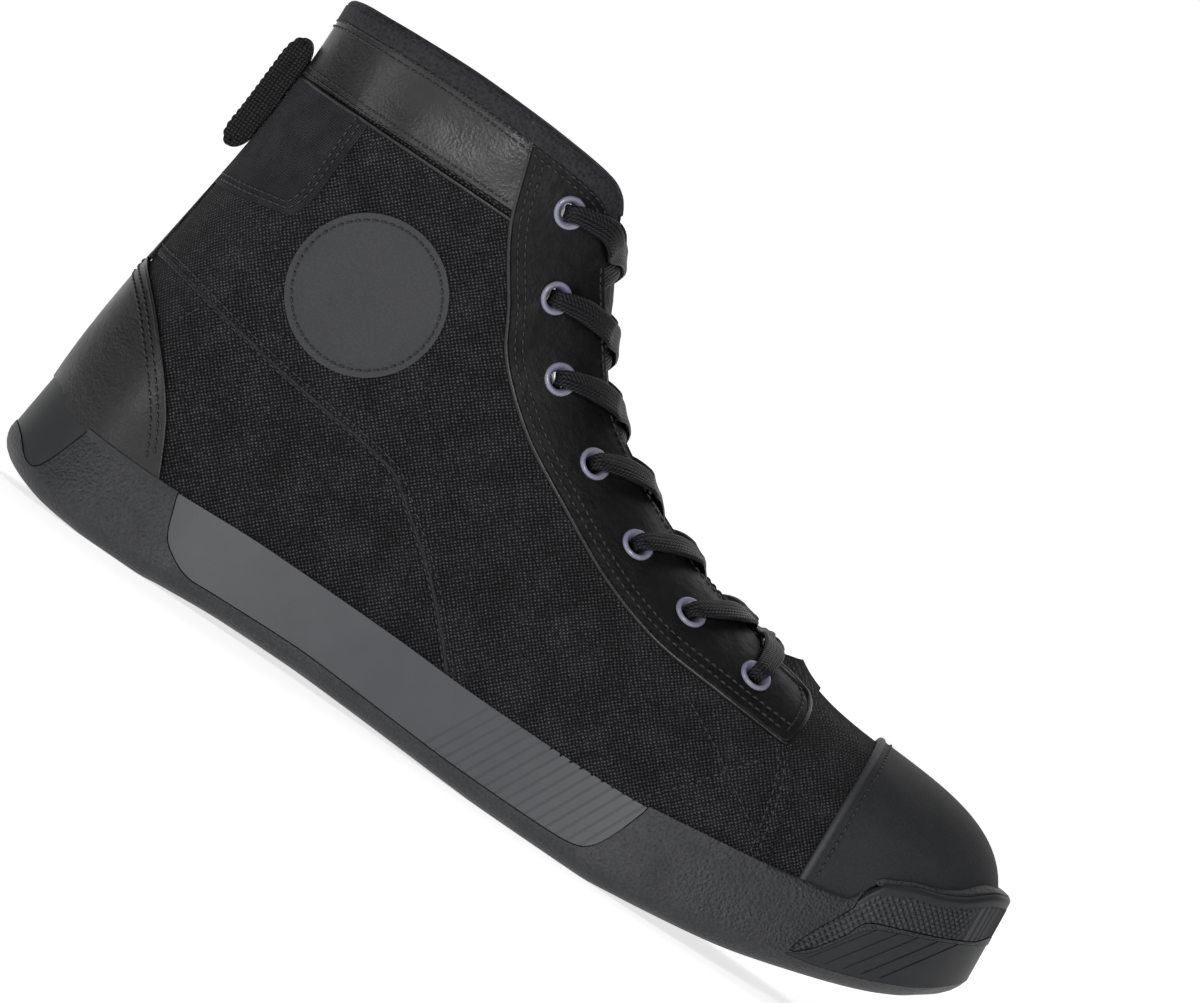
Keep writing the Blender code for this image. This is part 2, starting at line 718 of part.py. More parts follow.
def tongue():
    """The tongue: a padded sheet under both edges of the throat, sewn in ahead of the throat's foot."""
    face = -UPPER_WALL - QUARTER_STEP - TONGUE_GAP
    stations = (3.0, 4.0, 5.0, 5.5, 6.0, 6.5, 7.0, 7.5, 8.0, 8.5)
    spans = (0.0, 0.2, 0.4, 0.6, 0.8, 1.0)
    rings = []

    def ahead(share):
        """A row under the vamp, in an arc ahead of the throat's foot."""
        row = []
        for step in range(len(spans) + 2):
            t = TONGUE_SPREAD * (1 - 2 * step / (len(spans) + 1)) % ROUND
            row.append([skin(t, share, lift) for lift in (face, face - TONGUE_THICKNESS)])
        return row

    def across(t):
        """A row from under one edge of the throat to under the other."""
        row = []
        layers = (face, face - TONGUE_THICKNESS)
        under = rim_share(t)
        under = under + ROWS[-2] * (1.0 - under)
        row.append([skin(t, under, lift) for lift in layers])
        for v in spans:
            row.append([bridge(t, v, lift, lift) for lift in layers])
        row.append([skin(ROUND - t, under, lift) for lift in layers])
        return row

    for row in [ahead(share) for share in TONGUE_AHEAD] + [across(t) for t in stations]:
        rings.append([pair[0] for pair in row] + [pair[1] for pair in row][::-1])
    return tube("tongue", rings, "leather", turned=(0,))


def disc(centre, normal, radius, sides):
    """A ring of points round a centre, square to a direction."""
    normal = normal / np.linalg.norm(normal)
    first = np.cross(normal, (0.0, 1.0, 0.35))
    first = first / np.linalg.norm(first)
    second = np.cross(normal, first)
    angles = [2 * math.pi * k / sides for k in range(sides)]
    return [centre + radius * (math.cos(a) * first + math.sin(a) * second) for a in angles]


def eyelet_place(row, side):
    x, z = EYELETS[row]
    t, h = locate(x * OUTSOLE_LENGTH, z * BOOT_HEIGHT, side)
    return skin(t, h, EYESTAY_FACE), outward(wall, t, h)


def eyelet(name, place, normal):
    """A ring with a rolled flange over the eyestay and a barrel through the wall."""
    barrel = EYELET_BORE_RADIUS + EYELET_BARREL_WALL
    flange = EYELET_FLANGE_RADIUS
    depth = EYESTAY_FACE + UPPER_WALL + GAP
    profile = (
        (EYELET_BORE_RADIUS, -depth),
        (0.5 * (EYELET_BORE_RADIUS + barrel), GAP + EYELET_FLANGE_RISE),
        (flange, GAP + 0.15),
        (barrel, GAP),
        (barrel, -depth),
    )
    rings = [disc(place + lift * normal, normal, radius, EYELET_SIDES) for radius, lift in profile]
    return tube(name, rings, "eyelet", loop=True)


def eyelet_hole(place, normal):
    radius = EYELET_BORE_RADIUS + EYELET_BARREL_WALL + GAP
    rings = [disc(place + lift * normal, normal, radius, EYELET_SIDES) for lift in (-HOLE_REACH, CUT_REACH)]
    return tube("hole", rings, "eyelet")


def strip(name, centres, normals, widths, finish, thickness):
    """A flat band along a row of points."""
    rings = []
    for k, centre in enumerate(centres):
        ahead = centres[min(k + 1, len(centres) - 1)]
        behind = centres[max(k - 1, 0)]
        along = (ahead - behind) / np.linalg.norm(ahead - behind)
        across = np.cross(normals[k], along)
        across = across / np.linalg.norm(across)
        lift = np.cross(along, across) * thickness
        half = 0.5 * widths[k] * across
        rings.append([centre - half, centre + half, centre + half + lift, centre - half + lift])
    return tube(name, rings, finish)


def sheet_point(side, t, v, lift):
    """A point over the throat, with v measured from the edge on one side of the foot."""
    if side < 0:
        return bridge(t, v, lift, lift)
    return bridge(ROUND - t, v, lift, lift)


def sheet_normal(side, t, v):
    """The upward normal of the sheet that spans the throat."""
    along = sheet_point(side, t + 0.05, v, 0.0) - sheet_point(side, t - 0.05, v, 0.0)
    across = sheet_point(side, t, v + 0.02, 0.0) - sheet_point(side, t, v - 0.02, 0.0)
    normal = np.cross(across, along) * -side
    normal = normal / np.linalg.norm(normal)
    return normal if normal[2] + 0.5 * normal[0] > 0 else -normal


def edge_station(row, side):
    """The station of the throat's edge that lies nearest to an eyelet."""
    place, normal = eyelet_place(row, side)
    stations = np.arange(3.0, HEEL_STATION - 4.0, 0.02)
    gaps = [np.linalg.norm(top_edge(s if side < 0 else ROUND - s) - place) for s in stations]
    return float(stations[int(np.argmin(gaps))])


def over_eyestay(row, side, station):
    """The first points of a lace run: over the eyelet, then along the eyestay to the throat's edge."""
    x, z = EYELETS[row]
    t, h = locate(x * OUTSOLE_LENGTH, z * BOOT_HEIGHT, side)
    goal = station if side < 0 else ROUND - station
    centres, normals = [], []
    for share in (0.0, 0.5, 0.85):
        here = (t + (goal - t) * share, h + (1.0 - h) * share)
        lift = EYESTAY_FACE + LACE_OVER_FLANGE
        centres.append(skin(*here, lift))
        normals.append(outward(wall, *here))
    return centres, normals


def lace_run(name, row, side, route):
    """One run of lace from an eyelet along rows of station, share across the throat and lift."""
    centres, normals = over_eyestay(row, side, route[0][0])
    centres += [sheet_point(side, *step) for step in route]
    normals += [sheet_normal(side, t, v) for t, v, lift in route]
    widths = [LACE_START_SHARE * LACE_WIDTH] + [LACE_WIDTH] * (len(centres) - 1)
    return strip(name, centres, normals, widths, "webbing", LACE_THICKNESS)


def lace_cross(row):
    """Two lace runs that go down from a pair of eyelets and cross on the tongue, joined where they meet."""
    runs = []
    for side in (-1.0, 1.0):
        start, goal = edge_station(row, side), edge_station(row + 1, side)
        rise = FOOT_RISE if row == len(EYELETS) - 2 else 0.0
        route = []
        for share, lift in CROSS_ROUTE:
            lift += rise * min(2 * share, 1.0)
            route.append((start + (goal - start) * (0.30 + 0.60 * share), share, lift))
        runs.append(lace_run(f"lace_cross_{row + 1}", row, side, route))
    return combine(runs[0], runs[1], "UNION")


def lace_bar():
    """The straight run across the foot of the throat, from one last eyelet to the other."""
    row = len(EYELETS) - 1
    low = edge_station(row, -1.0)
    over = [sheet_point(-1.0, low, v, lift) for v, lift in BAR_ROUTE]
    normals = [sheet_normal(-1.0, low, v) for v, lift in BAR_ROUTE]
    start, start_normals = over_eyestay(row, -1.0, low)
    end, end_normals = over_eyestay(row, 1.0, low)
    centres = start + over + end[::-1]
    normals = start_normals + normals + end_normals[::-1]
    end_width = LACE_START_SHARE * LACE_WIDTH
    widths = [end_width] + [LACE_WIDTH] * (len(centres) - 2) + [end_width]
    return strip("lace_bar", centres, normals, widths, "webbing", LACE_THICKNESS)


def heel_x(z, lift):
    """How far back the upper's heel reaches at a height."""
    low, high = 0.0, 1.0
    for _ in range(30):
        middle = 0.5 * (low + high)
        if wall(HEEL_STATION, middle)[2] < z:
            low = middle
        else:
            high = middle
    return skin(HEEL_STATION, low, lift)[0]


def pull_loop():
    """A folded webbing loop that stands on the heel strip."""
    path = []
    for off, z in LOOP_PATH:
        z = z * BOOT_HEIGHT
        x = heel_x(z, EYESTAY_FACE + GAP) - 0.5 * LOOP_WEBBING - off * LOOP_DEPTH
        path.append(np.array((x, z)))
    rings = []
    for k, point in enumerate(path):
        along = path[(k + 1) % len(path)] - path[k - 1]
        out = np.array((along[1], -along[0])) / np.hypot(*along) * 0.5 * LOOP_WEBBING
        ring = []
        for sign, y in ((1, -0.5), (1, 0.5), (-1, 0.5), (-1, -0.5)):
            edge = point + sign * out
            ring.append((edge[0], y * LOOP_WIDTH, edge[1]))
        rings.append(ring)
    return tube("pull_loop", rings, "webbing", loop=True)


def ankle_patch():
    """A round patch over the ankle on the outer side."""
    x, z = PATCH_CENTRE[0] * OUTSOLE_LENGTH, PATCH_CENTRE[1] * BOOT_HEIGHT
    angles = [2 * math.pi * k / 24 for k in range(24)]
    circle = [(x + PATCH_RADIUS * math.cos(a), z + PATCH_RADIUS * math.sin(a)) for a in angles]
    return overlay("ankle_patch", [(circle, -BALL_WIDTH, -1.5, "INTERSECT")], "patch")


def main():
    for thing in list(bpy.data.objects):
        bpy.data.objects.remove(thing)
    wide = BALL_WIDTH
    tall = 1.3 * BOOT_HEIGHT
    long = 1.2 * OUTSOLE_LENGTH

    sole = cupsole()
    body = upper()
    insole()
    tongue()

    # Toe cap, heel counter and collar band
    edge = side_curve(CAP_EDGE, BOOT_HEIGHT, 2)
    overlay("toe_cap", [(edge + [(long, -10.0), (long, tall)], -wide, wide, "INTERSECT")], "cap")
    edge = side_curve(COUNTER_EDGE, BOOT_HEIGHT)
    counter = [(-20.0, 0.0), (-20.0, edge[0][1])] + edge
    overlay("heel_counter", [(counter, -wide, wide, "INTERSECT")], "leather")
    rear = side_curve(EYESTAY_BACK, BOOT_HEIGHT)
    seam = COLLAR_SEAM * BOOT_HEIGHT
    band_end = [(x - GAP, z) for x, z in rear if z > seam - 1.0]
    band = [(-20.0, seam), (-20.0, tall), (band_end[0][0], tall)] + band_end
    overlay("collar_band", [(band, -wide, wide, "INTERSECT")], "leather")

    # Eyestays, with the eyelet holes through them and the upper
    toe_end = side_curve(EYESTAY_TOE, BOOT_HEIGHT)
    front = rear + toe_end + [(long * 0.5, tall), (rear[0][0], tall)]
    for label, side in (("outer", -1.0), ("inner", 1.0)):
        span = (side * wide, side * 1.5)
        eyestay = overlay(f"eyestay_{label}", [(front, *span, "INTERSECT")], "leather")
        for row in range(len(EYELETS)):
            place, normal = eyelet_place(row, side)
            hole = eyelet_hole(place, normal)
            combine(eyestay, hole, "DIFFERENCE", keep_tool=True)
            combine(body, hole, "DIFFERENCE")
            eyelet(f"eyelet_{label}_{row + 1}", place, normal)

    # Inserts of the sole
    panel = side_curve(PANEL_EDGE, SIDEWALL_HEIGHT)
    for label, side in (("outer", -1.0), ("inner", 1.0)):
        piece = insert(f"side_panel_{label}", sole, panel, (side * wide, side * 1.0), "insert")
        grooves(piece, side)
    bumper = side_curve(BUMPER_EDGE, SIDEWALL_HEIGHT)
    bumper += [(0.872 * OUTSOLE_LENGTH, tall), (long, tall), (long, bumper[0][1])]
    insert("toe_bumper", sole, bumper, (-wide, wide), "rubber")
    heel = side_curve(HEEL_INSERT_EDGE, SIDEWALL_HEIGHT, 2)
    heel += [(heel[-1][0], tall), (heel[0][0], tall)]
    insert("heel_bumper", sole, heel, (-wide, wide), "rubber")
    tread(sole)

    # Patch, heel webbing and laces
    ankle_patch()
    low, high = edge[0][1] + GAP, seam - GAP
    span = [(-20.0, low), (0.2 * long, low), (0.2 * long, high), (-20.0, high)]
    overlay("heel_strip", [(span, -0.5 * LOOP_WIDTH, 0.5 * LOOP_WIDTH, "INTERSECT")], "webbing")
    pull_loop()
    for row in range(len(EYELETS) - 1):
        lace_cross(row)
    lace_bar()


main()
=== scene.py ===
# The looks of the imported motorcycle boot: a canvas upper with leather overlays on a rubber cupsole.
# Lengths are in millimetres, x from the back of the heel along the boot, y across it with the outer side
# at -y, and z above the ground. A table holds shares of the sizes that its heading gives.

import math

import bpy
import numpy as np
from mathutils import Matrix, Vector


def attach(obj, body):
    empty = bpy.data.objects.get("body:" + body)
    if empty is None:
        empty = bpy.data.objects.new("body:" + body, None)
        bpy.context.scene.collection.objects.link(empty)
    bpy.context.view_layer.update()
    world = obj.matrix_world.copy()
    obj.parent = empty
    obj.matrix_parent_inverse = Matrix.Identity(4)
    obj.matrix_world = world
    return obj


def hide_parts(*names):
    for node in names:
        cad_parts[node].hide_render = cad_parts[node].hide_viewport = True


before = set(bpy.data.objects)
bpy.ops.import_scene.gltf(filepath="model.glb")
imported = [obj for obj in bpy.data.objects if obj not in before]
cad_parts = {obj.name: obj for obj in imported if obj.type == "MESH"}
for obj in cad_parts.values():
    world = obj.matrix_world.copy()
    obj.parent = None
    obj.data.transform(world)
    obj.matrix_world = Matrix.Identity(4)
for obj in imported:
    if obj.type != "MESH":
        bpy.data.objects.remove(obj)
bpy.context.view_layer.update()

MM = 0.001

# Driving sizes
OUTSOLE_LENGTH = 305.0
BOOT_HEIGHT = 164.0
BALL_WIDTH = 108.0
COLLAR_WIDTH = 71.0
SIDEWALL_HEIGHT = 25.5
TOE_SPRING = 29.5
RIM_INSET = 2.2
UPPER_INSET = 5.0
UPPER_WALL = 2.0
QUARTER_STEP = 0.8
OVERLAY_THICKNESS = 1.2
GAP = 0.3
INSOLE_THICKNESS = 4.0
INSOLE_CLEARANCE = 1.2
TONGUE_THICKNESS = 3.0
TONGUE_GAP = 0.8
INSERT_DEPTH = 1.3
INSERT_SINK = 0.3
EYELET_FLANGE_RADIUS = 5.0
EYELET_BORE_RADIUS = 2.5
EYELET_BARREL_WALL = 0.5
EYELET_FLANGE_RISE = 0.8
LACE_WIDTH = 7.0
LACE_THICKNESS = 1.4
PATCH_RADIUS = 22.5
LOOP_WIDTH = 14.0
LOOP_WEBBING = 3.0
LOOP_DEPTH = 4.6
TREAD_DEPTH = 1.5
TREAD_WIDTH = 4.0

# Stations round the foot, from the toe tip to the back of the heel.
# x is a share of the outsole length and outer and inner of the ball width, for the widest line of the sole.
# The other columns are the handles of the wall's curve, as shares of the boot height: forward, out and up at
# its foot, and forward, out and down at its top.
STATIONS = (
    # x, outer, inner, foot_fwd, foot_out, foot_up, top_fwd, top_out, top_down
    (1.000, -0.074, 0.074, 0.035, 0.000, 0.348, 0.159, 0.000, 0.104),
    (0.980, 0.102, 0.250, 0.033, 0.012, 0.341, 0.159, 0.024, 0.098),
    (0.931, 0.269, 0.375, 0.024, 0.018, 0.305, 0.152, 0.061, 0.079),
    (0.859, 0.384, 0.444, 0.012, 0.012, 0.268, 0.134, 0.085, 0.043),
    (0.780, 0.456, 0.481, 0.000, 0.012, 0.244, 0.085, 0.122, 0.018),
    (0.689, 0.500, 0.491, -0.012, 0.018, 0.256, 0.073, 0.134, 0.037),
    (0.584, 0.491, 0.444, 0.000, 0.018, 0.274, 0.061, 0.134, 0.073),
    (0.475, 0.440, 0.380, 0.000, 0.006, 0.274, 0.049, 0.122, 0.134),
    (0.367, 0.389, 0.343, 0.000, 0.006, 0.274, 0.024, 0.116, 0.213),
    (0.262, 0.366, 0.347, 0.000, 0.012, 0.274, -0.012, 0.067, 0.305),
    (0.164, 0.366, 0.356, -0.006, 0.024, 0.274, -0.037, -0.006, 0.305),
    (0.079, 0.324, 0.319, -0.012, 0.018, 0.274, -0.006, -0.012, 0.305),
    (0.020, 0.185, 0.185, -0.015, 0.006, 0.274, 0.003, -0.024, 0.305),
    (0.000, 0.000, 0.000, -0.027, 0.000, 0.280, 0.020, 0.000, 0.323),
)
HEEL_STATION = len(STATIONS) - 1
ROUND = 2 * HEEL_STATION

# Top edge of the upper, from the foot of the throat up to the collar and round to its back.
TOP_EDGE = (
    # station, x of outsole length, half width of collar width, z of boot height
    (0.0, 0.711, 0.000, 0.494),
    (1.0, 0.709, 0.063, 0.491),
    (2.0, 0.700, 0.134, 0.485),
    (3.0, 0.679, 0.180, 0.477),
    (4.0, 0.646, 0.200, 0.483),
    (5.0, 0.590, 0.211, 0.511),
    (6.0, 0.515, 0.218, 0.570),
    (7.0, 0.433, 0.232, 0.668),
    (8.0, 0.380, 0.254, 0.799),
    (8.5, 0.354, 0.289, 0.878),
    (8.85, 0.345, 0.324, 0.939),
    (9.0, 0.337, 0.345, 0.963),
    (9.2, 0.321, 0.387, 0.979),
    (9.5, 0.285, 0.451, 0.988),
    (10.0, 0.230, 0.497, 0.995),
    (10.5, 0.170, 0.507, 0.998),
    (11.0, 0.118, 0.472, 0.995),
    (11.5, 0.082, 0.394, 0.991),
    (12.0, 0.059, 0.268, 0.988),
    (12.5, 0.049, 0.141, 0.984),
    (13.0, 0.047, 0.000, 0.982),
)

# Side lines of the sole: x is a share of the outsole length, z of the size in each heading.
# Underside, z of the toe spring
UNDERSIDE = (
    (0.000, 0.237), (0.007, 0.210), (0.023, 0.149), (0.039, 0.095), (0.066, 0.037), (0.098, 0.008),
    (0.111, 0.000), (0.170, 0.000), (0.197, 0.026), (0.262, 0.068), (0.328, 0.075), (0.393, 0.058),
    (0.459, 0.031), (0.508, 0.010), (0.541, 0.000), (0.649, 0.000), (0.689, 0.037), (0.721, 0.075),
    (0.787, 0.173), (0.852, 0.336), (0.918, 0.539), (0.951, 0.678), (0.967, 0.776), (0.984, 0.881),
    (1.000, 1.000),
)
# Rim, z of the sidewall height
RIM = (
    (0.000, 1.255), (0.012, 1.235), (0.033, 1.070), (0.066, 1.000), (0.130, 0.980), (0.262, 1.031),
    (0.390, 1.020), (0.490, 0.990), (0.590, 1.000), (0.656, 1.031), (0.720, 1.120), (0.780, 1.216),
    (0.820, 1.294), (0.871, 1.412), (0.881, 1.620), (0.890, 1.765), (0.904, 1.847), (0.920, 1.933),
    (0.941, 2.000), (0.963, 2.118), (0.977, 2.235), (0.990, 2.320), (1.000, 2.335),
)
# Floor of the cup, z of the sidewall height
FLOOR = (
    (0.000, 0.588), (0.197, 0.608), (0.393, 0.588), (0.541, 0.470), (0.656, 0.470), (0.754, 0.588),
    (0.852, 0.804), (0.918, 1.020), (0.984, 1.314), (1.000, 1.373),
)

# Outlines seen from the side: x is a share of the outsole length and z of the boot height.
EYESTAY_BACK = (
    (0.241, 1.010), (0.255, 0.936), (0.277, 0.823), (0.315, 0.713), (0.341, 0.637), (0.393, 0.555),
    (0.459, 0.488), (0.525, 0.430), (0.590, 0.393), (0.656, 0.381), (0.733, 0.370),
)
EYESTAY_TOE = ((0.738, 0.372), (0.741, 0.409), (0.736, 0.445), (0.718, 0.460), (0.672, 0.473))
COUNTER_EDGE = (
    (0.000, 0.443), (0.015, 0.443), (0.026, 0.425), (0.052, 0.382), (0.073, 0.341), (0.098, 0.288),
    (0.121, 0.227), (0.146, 0.134),
)
CAP_EDGE = ((0.813, 0.520), (0.816, 0.330), (0.822, 0.100))
EYELETS = (
    (0.311, 0.901), (0.343, 0.770), (0.388, 0.660), (0.456, 0.573), (0.529, 0.501), (0.602, 0.457),
    (0.682, 0.430),
)
COLLAR_SEAM = 0.837
# Pull loop seen from the side: distance off the heel as a share of the loop's depth, z of the boot height
LOOP_PATH = (
    (0.00, 0.705), (0.00, 0.740), (0.00, 0.780), (0.00, 0.820), (0.00, 0.860), (0.18, 0.880), (0.50, 0.888),
    (0.82, 0.880), (1.00, 0.860), (1.02, 0.820), (1.00, 0.780), (0.97, 0.740), (0.95, 0.705), (0.78, 0.688),
    (0.48, 0.681), (0.18, 0.688),
)
PATCH_CENTRE = (0.204, 0.599)

# Outlines of the sole's inserts: z is a share of the sidewall height.
PANEL_EDGE = (
    (0.164, 1.100), (0.164, 0.961), (0.168, 0.812), (0.176, 0.561), (0.187, 0.420), (0.211, 0.290),
    (0.243, 0.294), (0.328, 0.325), (0.393, 0.294), (0.459, 0.255), (0.508, 0.235), (0.590, 0.235),
    (0.629, 0.263), (0.645, 0.361), (0.656, 0.588), (0.667, 0.965), (0.667, 1.100),
)
BUMPER_EDGE = (
    (1.050, 1.880), (1.000, 1.880), (0.984, 1.737), (0.967, 1.647), (0.944, 1.541), (0.920, 1.443),
    (0.895, 1.333), (0.885, 1.231), (0.879, 1.059), (0.870, 0.902), (0.859, 0.729), (0.845, 0.604),
    (0.852, 0.863), (0.864, 1.149), (0.872, 1.340),
)
HEEL_INSERT_EDGE = ((-0.050, 0.600), (0.003, 0.590), (0.031, 0.340), (0.046, 0.392), (0.063, 0.930))
GROOVE_COUNT = 17
GROOVE_PITCH = 3.3
GROOVE_WIDTH = 0.8
GROOVE_DEPTH = 0.5
GROOVE_START = 0.470
GROOVE_LEAN = 9.5

TREAD_PLACES = (0.085, 0.205, 0.560, 0.600, 0.640, 0.680)
TREAD_MARGIN = 16.0

# Where the quarter's canvas ends, in stations
SEAM_STATION = 3.83
SEAM_WIDTH = 0.03

# Corner of the sole, from its tread to its widest line: inset and rise
WIDEST_INSET = 0.1
WIDEST_RISE = 5.5
SOLE_CORNER = ((7.0, 0.0), (4.2, 0.3), (2.4, 1.1), (1.1, 2.4), (0.4, 3.9), (WIDEST_INSET, WIDEST_RISE))
RIM_ROUND = 0.5
# About how far the upper's wall runs from the sole's floor to the top edge
WALL_RISE = 60.0
# Rows of an insert's outer band, as shares of the sidewall over its widest line
BAND_SHARES = (-0.6, 0.0, 0.5, 1.0)
# Section of the foot bed: share of the way to its middle, and height
INSOLE_SECTION = (
    (0.0, 0.0), (0.0, 3.0), (0.01, 3.7), (0.03, INSOLE_THICKNESS), (0.25, 3.6), (0.5, 3.3), (0.75, 3.2),
    (1.0, 3.2),
)

# Reach of the outlines and tools that cut pieces out
ACROSS = (-BALL_WIDTH, BALL_WIDTH)
BEHIND = -20.0
TALL = 1.3 * BOOT_HEIGHT
LONG = 1.2 * OUTSOLE_LENGTH
CUT_REACH = 4.0
HOLE_REACH = 9.0
SEAM_HEIGHT = COLLAR_SEAM * BOOT_HEIGHT
SIDES = (("outer", -1.0), ("inner", 1.0))

# Lift of each part of a lace off the upper's outer face
EYESTAY_FACE = GAP + OVERLAY_THICKNESS
LACE_OVER_FLANGE = EYELET_FLANGE_RISE + 4 * GAP
LACE_AT_EDGE = EYESTAY_FACE + 3 * GAP
LACE_ON_TONGUE = -UPPER_WALL - QUARTER_STEP - TONGUE_GAP + 2 * GAP
# Start of a lace, out of its eyelet: share of the way to the throat's edge, lift, and share of full width
LACE_START = (
    (0.00, -UPPER_WALL - 1.0, 0.60), (0.00, EYESTAY_FACE + 0.6, 0.62),
    (0.10, EYESTAY_FACE + LACE_OVER_FLANGE, 0.78), (0.50, EYESTAY_FACE + LACE_OVER_FLANGE, 1.0),
    (0.85, EYESTAY_FACE + LACE_OVER_FLANGE, 1.0),
)
# Upper half of a lace's section, as shares of half its width and half its thickness
LACE_SECTION = (
    (-1.0, 0.0), (-0.93, 0.75), (-0.7, 1.0), (-0.35, 0.85), (0.0, 0.8), (0.35, 0.85), (0.7, 1.0),
    (0.93, 0.75),
)

# Rows of a lace crossing: share across the throat, lift, and how much of the upper run's extra lift it takes
LACE_CROSSING = 1.5
FOOT_RISE = 2.0
CROSS_ROUTE = (
    (0.02, LACE_AT_EDGE, 0.0), (0.20, 0.2, 0.3), (0.50, LACE_ON_TONGUE, 1.0), (0.68, LACE_ON_TONGUE, 0.5),
    (0.86, LACE_ON_TONGUE - 0.3, 0.0), (1.00, LACE_ON_TONGUE - 1.0, 0.0),
)
BAR_ROUTE = ((0.02, LACE_AT_EDGE), (0.30, 1.9), (0.70, 1.9), (0.98, LACE_AT_EDGE))

# Faces that meet at more than this many degrees keep a sharp edge
SHARP_ANGLE = 38.0
# Columns of points in each station
WALL_COLUMNS = 12
SOLE_COLUMNS = 14

# Sizes of the looks. The binding's start and the toe band's reach are in stations.
PATH_STEP = 1.0
CANVAS_PLY = 0.85
STITCH_START = 0.4
STITCH_PITCH = 2.4
STITCH_LENGTH = 1.95
STITCH_RADIUS = 0.34
STITCH_SIDES = 5
# Rings of one stitch: share of its length, then size and rise as shares of its radius
STITCH_SHAPE = ((0.0, 0.4, -0.5), (0.15, 0.9, 0.2), (0.5, 1.0, 0.55), (0.85, 0.9, 0.2), (1.0, 0.4, -0.5))
# Rows of stitches along the top edge: first and last station, and distance under the edge
EDGE_ROWS = ((8.9, HEEL_STATION, 5.4), (8.9, HEEL_STATION, 7.2), (4.0, 8.5, 2.4))
PATCH_MARGIN = 2.0
PIPING_RADIUS = 1.25
BINDING_START = 8.86
BINDING_DEPTH = 5.0
LOOP_RIB = 2.1
TONGUE_PAD = 1.1
TONGUE_REACH = 17.0
BAND_REACH = 3.6
PYRAMID_PITCH = 1.65
PYRAMID_HEIGHT = 0.6
PYRAMID_TURN = math.radians(34.0)
RIB_PITCH = 0.9
RIB_HEIGHT = 0.3
RIBBED_REACH = 24.0
PLAIN_RIM = 4.2
LIP_ROUND = 1.6
FLAME_GAP = 0.12
FLAME_DEPTH = 0.25

# Side lines in millimetres
S_SEAM = (
    (3.0, 78.0), (7.3, 77.7), (17, 76.7), (29.7, 74.3), (49.7, 70.7), (70.3, 68), (80, 67), (94.2, 64.6),
    (100, 61.7), (109, 55), (116.7, 49.2), (125, 42), (136.7, 30), (142.0, 23.0),
)
QUARTER_FRONT = ((225.7, 60.4), (230.7, 56.4), (234.3, 48.6), (236.4, 40.7), (238.6, 31), (239.0, 28.0))
CROSS_RISING = ((195, 57), (209, 50), (215.7, 46), (229, 38), (237, 33))
CROSS_FALLING = ((221.8, 53.6), (215.7, 45.7), (211.4, 40), (207.9, 35.7), (203.6, 31), (201.0, 27.5))
REAR_PANEL = ((4.0, 100.0), (11.5, 100.0), (20.0, 101.4), (29.0, 103.5), (33.0, 105.2), (35.5, 112.0),
              (36.0, 122.0), (36.5, 137.5))
FLAME_EDGE = (
    (257.0, 14.0), (259.0, 15.2), (262.6, 17.4), (266.2, 22.2), (268.8, 26.2), (271.6, 30.2), (274.6, 32.6),
    (281.2, 35.4), (288.4, 38.0), (295.4, 40.8), (301.0, 43.2), (306.0, 45.6), (314.0, 49.6), (314.0, 42.0),
    (306.0, 34.6), (298.0, 28.0), (291.0, 24.2), (284.0, 21.4), (275.7, 18.4), (266.0, 15.6), (257.0, 14.0),
)
# Where each fine line starts, and the outline of one
FLAME_LINES = ((262.6, 16.0), (267.6, 17.4), (272.6, 19.0), (277.6, 20.4), (282.6, 22.2))
FLAME_LINE = np.array(((0.0, 0.0), (0.35, -0.2), (14.35, 19.8), (14.0, 20.0)))
# Soft folds of the upper: ends in side view, then width and height of the fold
FOLDS = (
    (196, 66, 222, 50, 5.0, 0.5), (186, 62, 214, 40, 6.0, -0.5), (170, 62, 196, 36, 8.0, 0.45),
    (120, 78, 150, 44, 9.0, 0.5), (104, 92, 134, 58, 8.0, -0.5), (86, 112, 112, 82, 9.0, 0.5),
    (30, 118, 84, 110, 9.0, -0.45), (22, 96, 60, 82, 8.0, 0.5), (52, 66, 96, 44, 10.0, -0.45),
    (60, 50, 120, 36, 8.0, 0.4), (26, 146, 64, 152, 9.0, -0.5), (58, 142, 82, 158, 6.0, 0.5),
    (34, 139.5, 76, 140.5, 6.0, 1.0), (103.4, 107.5, 120, 119.4, 1.8, -0.5),
    (86.3, 137, 104.8, 141.8, 3.0, -0.5),
)


def eased(f, start, leave, end, arrive):
    """A smooth curve between two values, with the slopes at which it leaves one and meets the other."""
    return (
        (2 * f**3 - 3 * f**2 + 1) * start
        + (f**3 - 2 * f**2 + f) * leave
        + (3 * f**2 - 2 * f**3) * end
        + (f**3 - f**2) * arrive
    )


def smooth_values(rows, x):
    """The columns of a table at x, along smooth curves that don't overshoot its rows."""
    rows = np.asarray(rows, float)
    x = np.asarray(x, float)
    xs, ys = rows[:, 0], rows[:, 1:]
    slopes = np.diff(ys, axis=0) / np.diff(xs)[:, None]
    before, after = slopes[:-1], slopes[1:]
    same_way = before * after > 0
    total = np.where(same_way, before + after, 1.0)
    tangents = np.vstack([slopes[:1], np.where(same_way, 2 * before * after / total, 0.0), slopes[-1:]])
    index = np.clip(np.searchsorted(xs, x, side="right") - 1, 0, len(xs) - 2)
    width = (xs[index + 1] - xs[index])[..., None]
    f = np.clip((x - xs[index])[..., None] / width, 0.0, 1.0)
    return eased(f, ys[index], tangents[index] * width, ys[index + 1], tangents[index + 1] * width)


